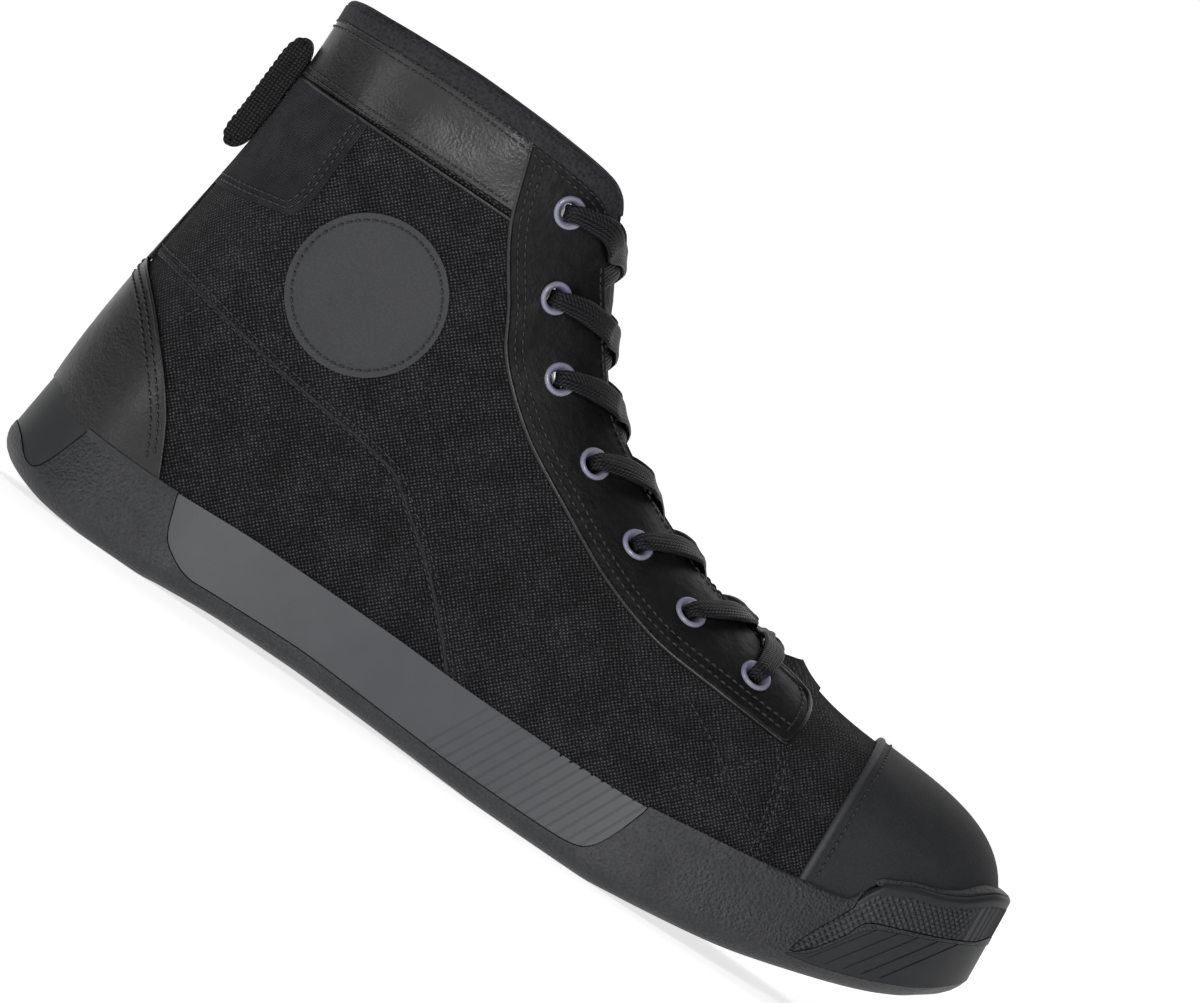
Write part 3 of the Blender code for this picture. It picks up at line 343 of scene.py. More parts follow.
def through(points, position, closed=False):
    """Points on the smooth curve through a row of points, with position 0 at the first of them."""
    points = np.asarray(points, float)
    position = np.asarray(position, float)
    count = len(points)
    start = np.floor(position).astype(int)
    if not closed:
        start = np.clip(start, 0, count - 2)
    f = (position - start)[..., None]
    ends = []
    for step in (-1, 0, 1, 2):
        index = (start + step) % count if closed else np.clip(start + step, 0, count - 1)
        ends.append(points[index])
    a, b, c, d = ends
    return 0.5 * (2 * b + (c - a) * f + (2 * a - 5 * b + 4 * c - d) * f**2 + (3 * b - a - 3 * c + d) * f**3)


def unit(vectors):
    return vectors / np.linalg.norm(vectors, axis=-1, keepdims=True)


def mirrored(rows):
    """The top edge's rows, carried past the toe and the heel so that both ends meet smoothly."""
    before = [(-r[0], r[1], -r[2], r[3]) for r in rows[1:3]][::-1]
    after = [(2 * HEEL_STATION - r[0], r[1], -r[2], r[3]) for r in rows[-3:-1]][::-1]
    return before + list(rows) + after


WHOLE_EDGE = mirrored(TOP_EDGE)
RING = [(row[0], -row[1]) + row[3:] + (-1.0,) for row in STATIONS]
RING += [(row[0], row[2]) + row[3:] + (1.0,) for row in STATIONS[-2:0:-1]]
OUTLINE = [(row[0] * OUTSOLE_LENGTH, row[1] * BALL_WIDTH) for row in RING]
HANDLES = [(r[2], r[3] * r[8], r[4], r[5], r[6] * r[8], -r[7]) for r in RING]


def side_of(t):
    """-1 on the outer side of the foot and 1 on the inner side."""
    return np.where(np.asarray(t) % ROUND <= HEEL_STATION, -1.0, 1.0)


def outline(t, inset=0.0):
    """Points of the sole's widest line, in plan, moved in towards the foot."""
    t = np.asarray(t, float)
    along = unit(through(OUTLINE, (t + 0.01) % ROUND, True) - through(OUTLINE, (t - 0.01) % ROUND, True))
    inward = np.stack((along[..., 1], -along[..., 0]), axis=-1)
    return through(OUTLINE, t % ROUND, True) + np.asarray(inset)[..., None] * inward


def underside(x):
    return smooth_values(UNDERSIDE, x / OUTSOLE_LENGTH)[..., 0] * TOE_SPRING


def rim_height(t):
    return smooth_values(RIM, outline(t)[..., 0] / OUTSOLE_LENGTH)[..., 0] * SIDEWALL_HEIGHT


def floor_height(x):
    return smooth_values(FLOOR, x / OUTSOLE_LENGTH)[..., 0] * SIDEWALL_HEIGHT


def top_edge(t):
    """Points of the upper's top edge."""
    t = np.asarray(t, float) % ROUND
    side = side_of(t)
    row = smooth_values(WHOLE_EDGE, np.where(side < 0, t, ROUND - t))
    across = side * row[..., 1] * COLLAR_WIDTH
    return np.stack((row[..., 0] * OUTSOLE_LENGTH, across, row[..., 2] * BOOT_HEIGHT), axis=-1)


def wall(t, h):
    """The surface of the last: t runs round the foot and h from the sole's floor to the top edge."""
    t = np.asarray(t, float)
    plan = outline(t, UPPER_INSET)
    foot = np.stack((plan[..., 0], plan[..., 1], floor_height(plan[..., 0]) + GAP), axis=-1)
    top = top_edge(t)
    handles = through(HANDLES, t % ROUND, True) * BOOT_HEIGHT
    h = np.asarray(h, float)[..., None]
    g = 1.0 - h
    low, high = foot + handles[..., :3], top + handles[..., 3:]
    return g**3 * foot + 3 * g**2 * h * low + 3 * g * h**2 * high + h**3 * top


def outward(t, h):
    """Outward normals of the last."""
    step = 0.004
    high = np.minimum(np.asarray(h, float) + step, 1.0)
    across = wall(np.asarray(t) + step, h) - wall(np.asarray(t) - step, h)
    return unit(np.cross(wall(t, high) - wall(t, high - 2 * step), across))


def folds(points, side):
    """How far the soft folds lift the upper. The inner side has the same folds a little further back."""
    x = points[..., 0] + np.where(side > 0, 7.0, 0.0)
    z = points[..., 2]
    lift = np.zeros(x.shape)
    for x0, z0, x1, z1, width, height in FOLDS:
        along = np.array((x1 - x0, z1 - z0), float)
        share = np.clip(((x - x0) * along[0] + (z - z0) * along[1]) / (along @ along), 0.0, 1.0)
        away = np.hypot(x - x0 - share * along[0], z - z0 - share * along[1])
        lift += height * np.exp(-((away / width) ** 2)) * np.sin(math.pi * (0.1 + 0.8 * share))
    return lift


def seam_step(t):
    """The quarter's canvas lies over the vamp's, so the wall steps out behind the quarter seam."""
    station = np.asarray(t, float) % ROUND
    station = np.minimum(station, ROUND - station)
    return QUARTER_STEP * np.clip((station - SEAM_STATION) / SEAM_WIDTH, 0.0, 1.0)


def skin(t, h, offset=0.0):
    """Points at a distance outside the upper's outer face."""
    points = wall(t, h)
    lift = seam_step(t) + folds(points, side_of(t)) + offset
    return points + outward(t, h) * lift[..., None]


def rim_share(t):
    """The h at which the upper comes out of the sole."""
    t = np.asarray(t, float)
    low, high = np.zeros(t.shape), np.full(t.shape, 0.8)
    target = rim_height(t)
    for _ in range(24):
        middle = 0.5 * (low + high)
        under = wall(t, middle)[..., 2] < target
        low, high = np.where(under, middle, low), np.where(under, high, middle)
    return 0.5 * (low + high)


SAMPLE_T = np.linspace(0.0, HEEL_STATION, 131)
SAMPLE_H = np.linspace(0.03, 1.0, 49)
SAMPLES = {
    side: wall((SAMPLE_T if side < 0 else ROUND - SAMPLE_T)[:, None], SAMPLE_H[None, :])
    for side in (-1.0, 1.0)
}


def locate(x, z, side):
    """The t and h where the upper's outer face has a given x and z in side view."""
    x, z = np.asarray(x, float), np.asarray(z, float)
    sample = SAMPLES[side].reshape(-1, 3)
    nearest = [int(np.argmin((sample[:, 0] - a) ** 2 + (sample[:, 2] - b) ** 2)) for a, b in zip(x, z)]
    rows, cols = np.divmod(np.array(nearest), len(SAMPLE_H))
    t = SAMPLE_T[rows] if side < 0 else ROUND - SAMPLE_T[rows]
    h = SAMPLE_H[cols]
    for _ in range(8):
        here = skin(t, h)
        by_t = (skin(t + 0.01, h) - here) / 0.01
        by_h = (here - skin(t, h - 0.01)) / 0.01
        spread = by_t[:, 0] * by_h[:, 2] - by_h[:, 0] * by_t[:, 2]
        spread = np.where(np.abs(spread) < 1.0, np.copysign(1.0, spread), spread)
        dx, dz = x - here[:, 0], z - here[:, 2]
        t = t + np.clip((dx * by_h[:, 2] - by_h[:, 0] * dz) / spread, -0.3, 0.3)
        h = h + np.clip((by_t[:, 0] * dz - dx * by_t[:, 2]) / spread, -0.1, 0.1)
        h = np.clip(h, 0.01, 1.0)
    return t, h


def centre_shift():
    """Puts the origin under the middle of the sole."""
    points = outline(np.arange(0.0, ROUND, 0.02))
    middle = 0.5 * (points.min(axis=0) + points.max(axis=0))
    return np.array((middle[0], middle[1], 0.0))


CENTRE = centre_shift()


def grid_faces(rows, size, loop_rows=False, loop_size=True):
    """Quads between rows of points, each row size points long."""
    r = np.arange(rows if loop_rows else rows - 1)[:, None]
    k = np.arange(size if loop_size else size - 1)[None, :]
    here, ahead, following = r * size, (r + 1) % rows * size, (k + 1) % size
    quads = np.broadcast_arrays(here + k, here + following, ahead + following, ahead + k)
    return np.stack(quads, -1).reshape(-1, 4).tolist()


def capped(rows, size):
    """Quads between rows of points, with one face over the first row and one over the last."""
    last = (rows - 1) * size
    return grid_faces(rows, size) + [tuple(range(size))[::-1], tuple(range(last, last + size))]


def piece(name, points, faces, finish, uv=None, sharp=SHARP_ANGLE):
    """A mesh object in the row frame, smooth except at edges sharper than the angle."""
    points = np.asarray(points, float).reshape(-1, 3)
    mesh = bpy.data.meshes.new(name)
    mesh.from_pydata(((points - CENTRE) * MM).tolist(), [], faces)
    mesh.calc_loop_triangles()
    corners = np.array([tuple(triangle.vertices) for triangle in mesh.loop_triangles])
    a, b, c = (points[corners[:, k]] - points.mean(axis=0) for k in range(3))
    if np.sum(a * np.cross(b, c)) < 0:
        mesh.flip_normals()
    if uv is not None:
        index = np.empty(len(mesh.loops), int)
        mesh.loops.foreach_get("vertex_index", index)
        layer = mesh.uv_layers.new(name="UVMap")
        layer.data.foreach_set("uv", np.asarray(uv, float).reshape(-1, 2)[index].ravel())
    thing = bpy.data.objects.new(name, mesh)
    bpy.context.scene.collection.objects.link(thing)
    mesh.materials.append(material(finish))
    round_off(mesh, sharp)
    return thing


def round_off(mesh, sharp=SHARP_ANGLE):
    """Shades a mesh smooth, except for its sharp edges."""
    mesh.shade_smooth()
    mesh.set_sharp_from_angle(angle=math.radians(sharp))


def combine(base, tool, operation, keep_tool=False):
    """Cuts a solid with another, or keeps what they share."""
    modifier = base.modifiers.new("combine", "BOOLEAN")
    modifier.object = tool
    modifier.operation = operation
    modifier.solver = "MANIFOLD"
    graph = bpy.context.evaluated_depsgraph_get()
    mesh = bpy.data.meshes.new_from_object(base.evaluated_get(graph))
    base.modifiers.remove(modifier)
    old = base.data
    base.data = mesh
    finish = old.materials[0]
    mesh.materials.clear()
    mesh.materials.append(finish)
    bpy.data.meshes.remove(old)
    if not keep_tool:
        bpy.data.objects.remove(tool)
    round_off(mesh)
    return base


def join(name, things):
    """One object from several of the same material."""
    base = things[0]
    with bpy.context.temp_override(active_object=base, selected_editable_objects=things):
        bpy.ops.object.join()
    base.name = name
    return base


def dress(thing, slot, *nodes):
    """Puts the piece under the root body and hides the solids it stands for. The slot is not used."""
    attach(thing, "root")
    if nodes:
        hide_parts(*nodes)
    return thing


def side_curve(rows, height, per_span=4):
    """Points along a smooth side outline, in millimetres."""
    position = np.linspace(0.0, len(rows) - 1, (len(rows) - 1) * per_span + 1)
    return through(rows, position) * (OUTSOLE_LENGTH, height)


def run_along(points):
    """How far along a row of points each of them is."""
    return np.concatenate(([0.0], np.cumsum(np.linalg.norm(np.diff(points, axis=0), axis=1))))


def sampled(at, run, points):
    """The points of a row at the distances asked for."""
    return np.stack([np.interp(at, run, column) for column in points.T], axis=1)


def evenly(points, spacing):
    """Points at even distances along a smooth curve through the given ones."""
    count = len(points) - 1
    fine = through(points, np.linspace(0.0, count, count * 24 + 1))
    run = run_along(fine)
    at = np.linspace(0.0, run[-1], max(int(round(run[-1] / spacing)), 2) + 1)
    return sampled(at, run, fine)


def beside(points, distance):
    """A side line moved to its left by a distance, as seen with x to the right and z up."""
    points = np.asarray(points, float)
    along = unit(np.gradient(points, axis=0))
    return points + distance * np.stack((-along[:, 1], along[:, 0]), axis=1)


def prism(points, across):
    """A side outline pulled across the boot, as a cutting tool."""
    points = np.asarray(points, float)
    rings = [np.insert(points, 1, y, axis=1) for y in across]
    return piece("cutter", rings, capped(2, len(points)), "canvas")


def wall_columns():
    """Every t at which a dense wall has a column of points."""
    half = np.arange(0.0, HEEL_STATION, 1.0 / WALL_COLUMNS)
    half = np.sort(np.concatenate((half, (SEAM_STATION, SEAM_STATION + SEAM_WIDTH))))
    return np.concatenate((half, (HEEL_STATION,), ROUND - half[:0:-1]))


def cloth_places(points, rim):
    """Where each point of the wall lies on its cloth, in millimetres from the heel and from the ground."""
    plan = np.hypot(np.diff(points[..., 0], axis=0, append=points[:1, :, 0]),
                    np.diff(points[..., 1], axis=0, append=points[:1, :, 1]))
    count = len(points)
    heel = count // 2
    run = np.zeros(points.shape[:2])
    run[:heel] = np.cumsum(plan[:heel][::-1], axis=0)[::-1]
    run[heel + 1:] = np.cumsum(plan[heel:-1], axis=0)
    total = run[-1] + plan[-1]
    run[heel + 1:] *= run[0] / total
    rise = np.hypot(np.diff(points[..., 1], axis=1), np.diff(points[..., 2], axis=1))
    up = rim[:, None] + np.concatenate((np.zeros((count, 1)), np.cumsum(rise, axis=1)), axis=1)
    return np.stack((run, up), axis=-1)


def shell(name, low, high, finish, below, rows=44):
    """A larger form from the upper's own function, between two offsets, from the rim to the top edge."""
    t = wall_columns()
    rim = rim_share(t)
    length = np.linalg.norm(wall(t, np.ones(len(t))) - wall(t, rim), axis=1)
    start = rim - below / length
    h = start[:, None] + np.linspace(0.0, 1.0, rows)[None, :] * (1.0 - start)[:, None]
    outer, inner = skin(t[:, None], h, high), skin(t[:, None], h, low)
    cloth = cloth_places(outer, rim_height(t))
    rings = np.concatenate((inner, outer[:, ::-1]), axis=1)
    uv = np.concatenate((cloth, cloth[:, ::-1]), axis=1)
    return piece(name, rings, grid_faces(len(t), 2 * rows, loop_rows=True), finish, uv)


def overlay(name, points, finish, low=-0.1, high=EYESTAY_FACE, below=1.2, across=ACROSS):
    """A piece that lies on the upper, inside a side outline."""
    return combine(shell(name, low, high, finish, below), prism(points, across), "INTERSECT")


def side_path(points, side):
    """The t and h along a smooth side line."""
    points = evenly(points, PATH_STEP)
    return locate(points[:, 0], points[:, 1], side)


def edge_path(t_from, t_to, distance):
    """The t and h along a line at a distance under the top edge."""
    t = np.linspace(t_from, t_to, 400)
    near = np.linalg.norm(wall(t, np.ones(t.shape)) - wall(t, np.full(t.shape, 0.98)), axis=1) / 0.02
    return t, 1.0 - distance / near


def rings_round(centres, across, up, sides):
    """A ring of points round each centre, which reaches as far as its two vectors."""
    angle = np.linspace(0.0, 2 * math.pi, sides, endpoint=False)[:, None]
    return centres[:, None] + np.cos(angle) * across[:, None] + np.sin(angle) * up[:, None]


def bead(name, path, offset, radius, finish, sides=10, flat=1.0):
    """A rounded edge or piping that follows a path on the upper."""
    t, h = path
    centres, normals = skin(t, h, offset), outward(t, h)
    across = unit(np.cross(unit(np.gradient(centres, axis=0)), normals))
    rings = rings_round(centres, radius * across, radius * flat * normals, sides)
    return piece(name, rings, capped(len(t), sides), finish, sharp=70.0)


def stitches(paths):
    """Rows of stitches, each path being t, h and the height over the upper's face."""
    starts, ends, ups = [], [], []
    for t, h, lift in paths:
        points = skin(t, h, lift)
        run = run_along(points)
        at = np.arange(STITCH_START, run[-1] - STITCH_LENGTH, STITCH_PITCH)
        starts.append(sampled(at, run, points))
        ends.append(sampled(at + STITCH_LENGTH, run, points))
        ups.append(unit(sampled(at, run, outward(t, h))))
    a, b, up = (np.concatenate(found) for found in (starts, ends, ups))
    across = unit(np.cross(b - a, up))
    rings = []
    for share, size, rise in STITCH_SHAPE:
        centres = a + share * (b - a) + up * rise * STITCH_RADIUS
        reach = size * STITCH_RADIUS
        rings.append(rings_round(centres, reach * across, reach * up, STITCH_SIDES))
    one, size = grid_faces(len(STITCH_SHAPE), STITCH_SIDES), len(STITCH_SHAPE) * STITCH_SIDES
    faces = [[size * k + corner for corner in face] for k in range(len(a)) for face in one]
    return piece("stitches", np.stack(rings, axis=1), faces, "thread", sharp=80.0)


def widest_line(t):
    """Height of the sole's widest line."""
    return underside(outline(t, WIDEST_INSET)[..., 0]) + WIDEST_RISE


def sole_section(t):
    """Sections of the cupsole, from its tread over the rim and down to the floor of the cup."""
    h_rim, rim, widest = rim_share(t), rim_height(t), widest_line(t)
    rows = []
    for inset, rise in SOLE_CORNER:
        plan = outline(t, inset)
        rows.append(np.column_stack((plan, underside(plan[:, 0]) + rise)))
    for share in np.linspace(0.0, 1.0, 8)[1:]:
        plan = outline(t, WIDEST_INSET + (RIM_INSET - WIDEST_INSET) * share)
        rows.append(np.column_stack((plan, widest + share * (rim - 1.0 - widest))))
    lip, plan = skin(t, h_rim, 1.9), outline(t, RIM_INSET)
    for share, rise in ((0.25, -0.35), (0.6, 0.0), (1.0, -0.2)):
        rows.append(np.column_stack((plan + share * (lip[:, :2] - plan), rim + rise)))
    for low in (1.0, 3.0):
        row = skin(t, h_rim - low / WALL_RISE, 1.8)
        row[:, 2] = rim - low
        rows.append(row)
    foot = skin(t, np.zeros(t.shape), GAP)
    foot[:, 2] = floor_height(foot[:, 0])
    return np.stack(rows + [foot], axis=1)


def ladder(size, ring_count, place):
    """Faces across the foot, between columns of the outer and the inner side."""
    faces = []
    for k in range(ring_count // 2):
        corners = [k, k + 1, (ring_count - k - 1) % ring_count, (ring_count - k) % ring_count]
        distinct = list(dict.fromkeys(corners))
        if len(distinct) > 2:
            faces.append(tuple(index * size + place for index in distinct))
    return faces


def cupsole():
    """The moulded cup with recesses for its inserts."""
    rings = sole_section(np.linspace(0.0, ROUND, ROUND * SOLE_COLUMNS, endpoint=False))
    count, size = rings.shape[:2]
    faces = grid_faces(count, size, loop_rows=True, loop_size=False)
    faces += ladder(size, count, 0)
    faces += [face[::-1] for face in ladder(size, count, size - 1)]
    return piece("cupsole_rubber", rings, faces, "rubber")


def sole_wall(t, share, offset):
    """Points beside the sole's sidewall: share runs from its widest line, 0, to the rim, 1."""
    share, widest = np.asarray(share, float), widest_line(t)
    plan = outline(t, WIDEST_INSET + (RIM_INSET - WIDEST_INSET) * share - offset)
    height = widest + share * (rim_height(t) - RIM_ROUND - widest)
    return np.stack((plan[..., 0], plan[..., 1], height), axis=-1)


def wall_band(name, low, high, finish, shares):
    """A larger form from the sole's own function, round its whole sidewall."""
    t = np.linspace(0.0, ROUND, ROUND * SOLE_COLUMNS, endpoint=False)[:, None]
    rings = np.concatenate((sole_wall(t, shares, low), sole_wall(t, shares[::-1], high)), axis=1)
    return piece(name, rings, grid_faces(len(t), 2 * len(shares), loop_rows=True), finish)


def insert(name, sole, points, across, finish, band=None, gap=GAP):
    """An insert of the sidewall in a recess that leaves a thin gap all round it."""
    recess = wall_band("recess", -INSERT_DEPTH - gap, 3.0, finish, (-0.6, 0.0, 1.2))
    area = np.sum(points[:, 0] * np.roll(points[:, 1], -1) - np.roll(points[:, 0], -1) * points[:, 1])
    around = unit(np.roll(points, -1, axis=0) - np.roll(points, 1, axis=0)) * math.copysign(1.0, area)
    grown = points + gap * np.stack((around[:, 1], -around[:, 0]), axis=1)
    combine(recess, prism(grown, across), "INTERSECT")
    combine(sole, recess, "DIFFERENCE")
    made = band or wall_band(name, -INSERT_DEPTH, -INSERT_SINK, finish, BAND_SHARES)
    return combine(made, prism(points, across), "INTERSECT")


def locate_plan(x, side):
    """The t at which the sole's outline reaches x on one side."""
    stations = np.linspace(0.0, HEEL_STATION, 1301)
    t = stations if side < 0 else ROUND - stations
    reach = outline(t)[:, 0]
    return float(np.interp(-x, -reach, t))


def grooves(panel, side):
    """Slanted grooves near the ball, each cut to the same depth under the panel's face."""
    for k in range(GROOVE_COUNT):
        x = GROOVE_START * OUTSOLE_LENGTH + k * GROOVE_PITCH
        rings = []
        for share, lean in ((0.0, 0.0), (1.0, GROOVE_LEAN)):
            face = sole_wall(locate_plan(x + lean, side), share, -INSERT_SINK - GROOVE_DEPTH)
            beyond = face[1] + side * CUT_REACH
            ends = ((x, face[1]), (x + GROOVE_WIDTH, face[1]), (x + GROOVE_WIDTH, beyond), (x, beyond))
            rings.append([(at + lean, y, face[2]) for at, y in ends])
        combine(panel, piece("groove", rings, capped(2, 4), "insert"), "DIFFERENCE")
    return panel


def pyramid_band():
    """The toe's band of rubber, with small pyramids at its sides and upright ribs at its front."""
    t = np.linspace(-BAND_REACH, BAND_REACH, 560)[:, None] % ROUND
    shares = np.linspace(-0.6, 1.0, 110)
    plain = sole_wall(t, shares, 0.0)
    run = run_along(plain[:, 55, :2])[:, None]
    run, up = np.abs(run - 0.5 * run[-1]), plain[..., 2]
    slant = run * math.cos(PYRAMID_TURN) + up * math.sin(PYRAMID_TURN)
    climb = up * math.cos(PYRAMID_TURN) - run * math.sin(PYRAMID_TURN)
    rows, cols = (2 * np.abs((way / PYRAMID_PITCH) % 1.0 - 0.5) for way in (climb, slant))
    pyramids = PYRAMID_HEIGHT * np.clip(1.2 - 1.3 * np.maximum(rows, cols), 0.0, 1.0)
    ribs = RIB_HEIGHT * np.clip(1.5 * np.cos(2 * math.pi * run / RIB_PITCH), -0.5, 1.0)
    front = np.clip((RIBBED_REACH - run) / 6.0, 0.0, 1.0)
    under_rim = rim_height(t) - up
    patterned = 1.0 - np.clip((PLAIN_RIM - under_rim) / 0.6, 0.0, 1.0)
    relief = patterned * ((1.0 - front) * pyramids + front * ribs - 0.15)
    from_top = np.clip(1.0 - (under_rim - RIM_ROUND) / LIP_ROUND, 0.0, 1.0)
    relief = relief - LIP_ROUND * (1.0 - np.sqrt(1.0 - 0.9 * from_top**2))
    outer, inner = sole_wall(t, shares, relief - INSERT_SINK), sole_wall(t, shares, -INSERT_DEPTH)
    rings = np.concatenate((inner, outer[:, ::-1]), axis=1)
    return piece("toe_bumper_rubber", rings, capped(len(t), 2 * len(shares)), "bumper", sharp=50.0)


def toe_flame(sole):
    """The smooth field under the toe's band, with fine slanted lines cut in it."""
    made = insert("toe_flame_rubber", sole, evenly(FLAME_EDGE, 1.2), ACROSS, "bumper", None, FLAME_GAP)
    for line in FLAME_LINES:
        cutter = wall_band("groove", -INSERT_SINK - FLAME_DEPTH, CUT_REACH, "bumper", BAND_SHARES)
        combine(cutter, prism(FLAME_LINE + line, ACROSS), "INTERSECT")
        combine(made, cutter, "DIFFERENCE")
    dress(made, "rubber")


def sole_parts():
    """The cupsole, the inserts of its sidewall and the grooves of its tread."""
    sole = cupsole()
    panel = side_curve(PANEL_EDGE, SIDEWALL_HEIGHT)
    for label, side in SIDES:
        made = insert(f"side_panel_{label}_rubber", sole, panel, (side * BALL_WIDTH, side), "insert")
        dress(grooves(made, side), "insert", f"side_panel_{label}")
    curve = side_curve(BUMPER_EDGE, SIDEWALL_HEIGHT, 3)
    corner = ((0.872 * OUTSOLE_LENGTH, TALL), (LONG, TALL), (LONG, curve[0, 1]))
    made = insert("toe_bumper_rubber", sole, np.vstack((curve, corner)), ACROSS, "bumper", pyramid_band())
    dress(made, "rubber", "toe_bumper")
    toe_flame(sole)
    curve = side_curve(HEEL_INSERT_EDGE, SIDEWALL_HEIGHT, 6)
    corner = ((curve[-1, 0], TALL), (curve[0, 0], TALL))
    made = insert("heel_bumper_rubber", sole, np.vstack((curve, corner)), ACROSS, "bumper")
    dress(made, "rubber", "heel_bumper")
    for place in TREAD_PLACES:
        x = place * OUTSOLE_LENGTH
        depth = underside(np.array(x)) + TREAD_DEPTH
        section = ((-0.5, -1.0), (0.5, -1.0), (0.4, depth), (-0.4, depth))
        ends = [outline(locate_plan(x, side), TREAD_MARGIN)[1] for label, side in SIDES]
        rings = [[(x + a * TREAD_WIDTH, y, z) for a, z in section] for y in ends]
        combine(sole, piece("groove", rings, capped(2, 4), "rubber"), "DIFFERENCE")
    dress(sole, "rubber", "cupsole")


def insole():
    """The foot bed, slightly dished, with a soft edge."""
    t = np.linspace(0.0, ROUND, ROUND * 8, endpoint=False)
    edge = skin(t, np.zeros(t.shape), -UPPER_WALL - seam_step(t) - INSOLE_CLEARANCE)
    floor_line = floor_height(edge[:, 0]) + GAP
    middle = np.column_stack((edge[:, 0], np.zeros(len(t))))
    rows = []
    for share, rise in INSOLE_SECTION:
        plan = edge[:, :2] + share * (middle - edge[:, :2])
        rows.append(np.column_stack((plan, floor_line + rise)))
    rings = np.stack(rows, axis=1)
    count, size = rings.shape[:2]
    faces = grid_faces(count, size, loop_rows=True, loop_size=False) + ladder(size, count, 0)
    return dress(piece("insole_lining", rings, faces, "lining"), "lining", "insole")


def eyelet_spot(row, side):
    """The t and h of an eyelet."""
    x, z = EYELETS[row]
    return locate([x * OUTSOLE_LENGTH], [z * BOOT_HEIGHT], side)


def eyelet_place(row, side):
    """The middle of an eyelet on the eyestay's face, and the way that it faces."""
    t, h = eyelet_spot(row, side)
    return skin(t, h, EYESTAY_FACE)[0], outward(t, h)[0]


def lathe(place, normal, profile, sides):
    """Rings of points round a normal, for a profile of radius and height."""
    first = unit(np.cross(normal, (0.0, 1.0, 0.35)))
    second = np.cross(normal, first)
    radius, height = np.array(profile).T[:, :, None]
    return rings_round(place + height * normal, radius * first, radius * second, sides)


def eyelets():
    """Rolled metal rings, and one cutter through the upper and the eyestays for all of them."""
    bore, flange = EYELET_BORE_RADIUS, EYELET_FLANGE_RADIUS
    barrel, hole = bore + EYELET_BARREL_WALL, bore + EYELET_BARREL_WALL + 0.1
    depth = EYESTAY_FACE + UPPER_WALL + GAP
    profile = (
        (bore, -depth), (bore, -1.6), (bore + 0.15, -0.7), (bore + 0.5, 0.1), (bore + 0.8, 0.55),
        (bore + 1.1, 0.9), (bore + 1.5, 1.02), (flange - 0.6, 0.9), (flange - 0.3, 0.55),
        (flange - 0.3, 0.02), (barrel, 0.0), (barrel, -depth),
    )
    spots = [eyelet_place(row, side) for label, side in SIDES for row in range(len(EYELETS))]
    made = []
    for name, section, sides, faces in (
        ("eyelet_rings", profile, 28, grid_faces(len(profile), 28, loop_rows=True)),
        ("holes", ((hole, -HOLE_REACH), (hole, 3.0)), 20, capped(2, 20)),
    ):
        size = len(section) * sides
        points = [lathe(place, normal, section, sides) for place, normal in spots]
        every = [[size * k + corner for corner in face] for k in range(len(spots)) for face in faces]
        made.append(piece(name, points, every, "eyelet", sharp=75.0))
    names = [f"eyelet_{label}_{row + 1}" for label, side in SIDES for row in range(len(EYELETS))]
    dress(made[0], "eyelet", *names)
    return made[1]


def lean_in(t):
    """The direction in which the wall would go on past its top edge, square to that edge."""
    lean = wall(t, np.ones(t.shape)) - wall(t, np.full(t.shape, 0.99))
    edge = unit(top_edge(t + 0.02) - top_edge(t - 0.02))
    return unit(lean - np.sum(lean * edge, axis=-1, keepdims=True) * edge)


def bridge(t, v, lift):
    """Points of the curved sheet that spans the throat: v is 0 at its outer edge and 1 at its inner one."""
    t, v, lift = np.broadcast_arrays(np.asarray(t, float), np.asarray(v, float), np.asarray(lift, float))
    a, b = skin(t, np.ones(t.shape), lift), skin(ROUND - t, np.ones(t.shape), lift)
    reach = np.linalg.norm(b - a, axis=-1, keepdims=True)
    return eased(v[..., None], a, reach * lean_in(t), b, -reach * lean_in(ROUND - t))


def tongue():
    """The padded tongue under both edges of the throat, with a rolled top edge."""
    face = -UPPER_WALL - QUARTER_STEP - TONGUE_GAP
    spans = np.linspace(0.0, 1.0, 25)
    stations = np.concatenate((np.linspace(3.0, 8.42, 54), (8.52, 8.58, 8.62)))
    thin = np.concatenate((np.zeros(54), (0.4, 0.9, 1.45)))
    layers = []
    for lift, sign in ((face, -1.0), (face - TONGUE_THICKNESS, 1.0)):
        rows = []
        for share in (0.78, 0.84, 0.90, 0.95):
            t = (2.6 - 5.2 * np.linspace(0.0, 1.0, len(spans) + 2)) % ROUND
            rows.append(skin(t, np.full(t.shape, share), lift))
        for station, less in zip(stations, thin):
            under = edge_path(station, station, TONGUE_REACH)[1][:1]
            depth = lift + sign * less
            pad = TONGUE_PAD * np.sin(math.pi * spans) if sign < 0 else 0.0 * spans
            middle = bridge(station, spans, depth + pad)
            ends = [skin(np.array([s]), under, depth) for s in (station, ROUND - station)]
            rows.append(np.concatenate((ends[0], middle, ends[1])))
        layers.append(np.stack(rows))
    rings = np.concatenate((layers[0], layers[1][:, ::-1]), axis=1)
    made = piece("tongue_leather", rings, capped(*rings.shape[:2]), "soft_leather", sharp=60.0)
    return dress(made, "leather", "tongue")


def sheet_point(side, t, v, lift):
    """A point over the throat, with v measured from the edge on one side of the foot."""
    return bridge(t, v if side < 0 else 1.0 - v, lift)


def sheet_normal(side, t, v):
    """The upward normal of the sheet that spans the throat."""
    along = sheet_point(side, t + 0.05, v, 0.0) - sheet_point(side, t - 0.05, v, 0.0)
    across = sheet_point(side, t, v + 0.02, 0.0) - sheet_point(side, t, v - 0.02, 0.0)
    normal = unit(np.cross(across, along))
    return normal if normal[2] + 0.5 * normal[0] > 0 else -normal


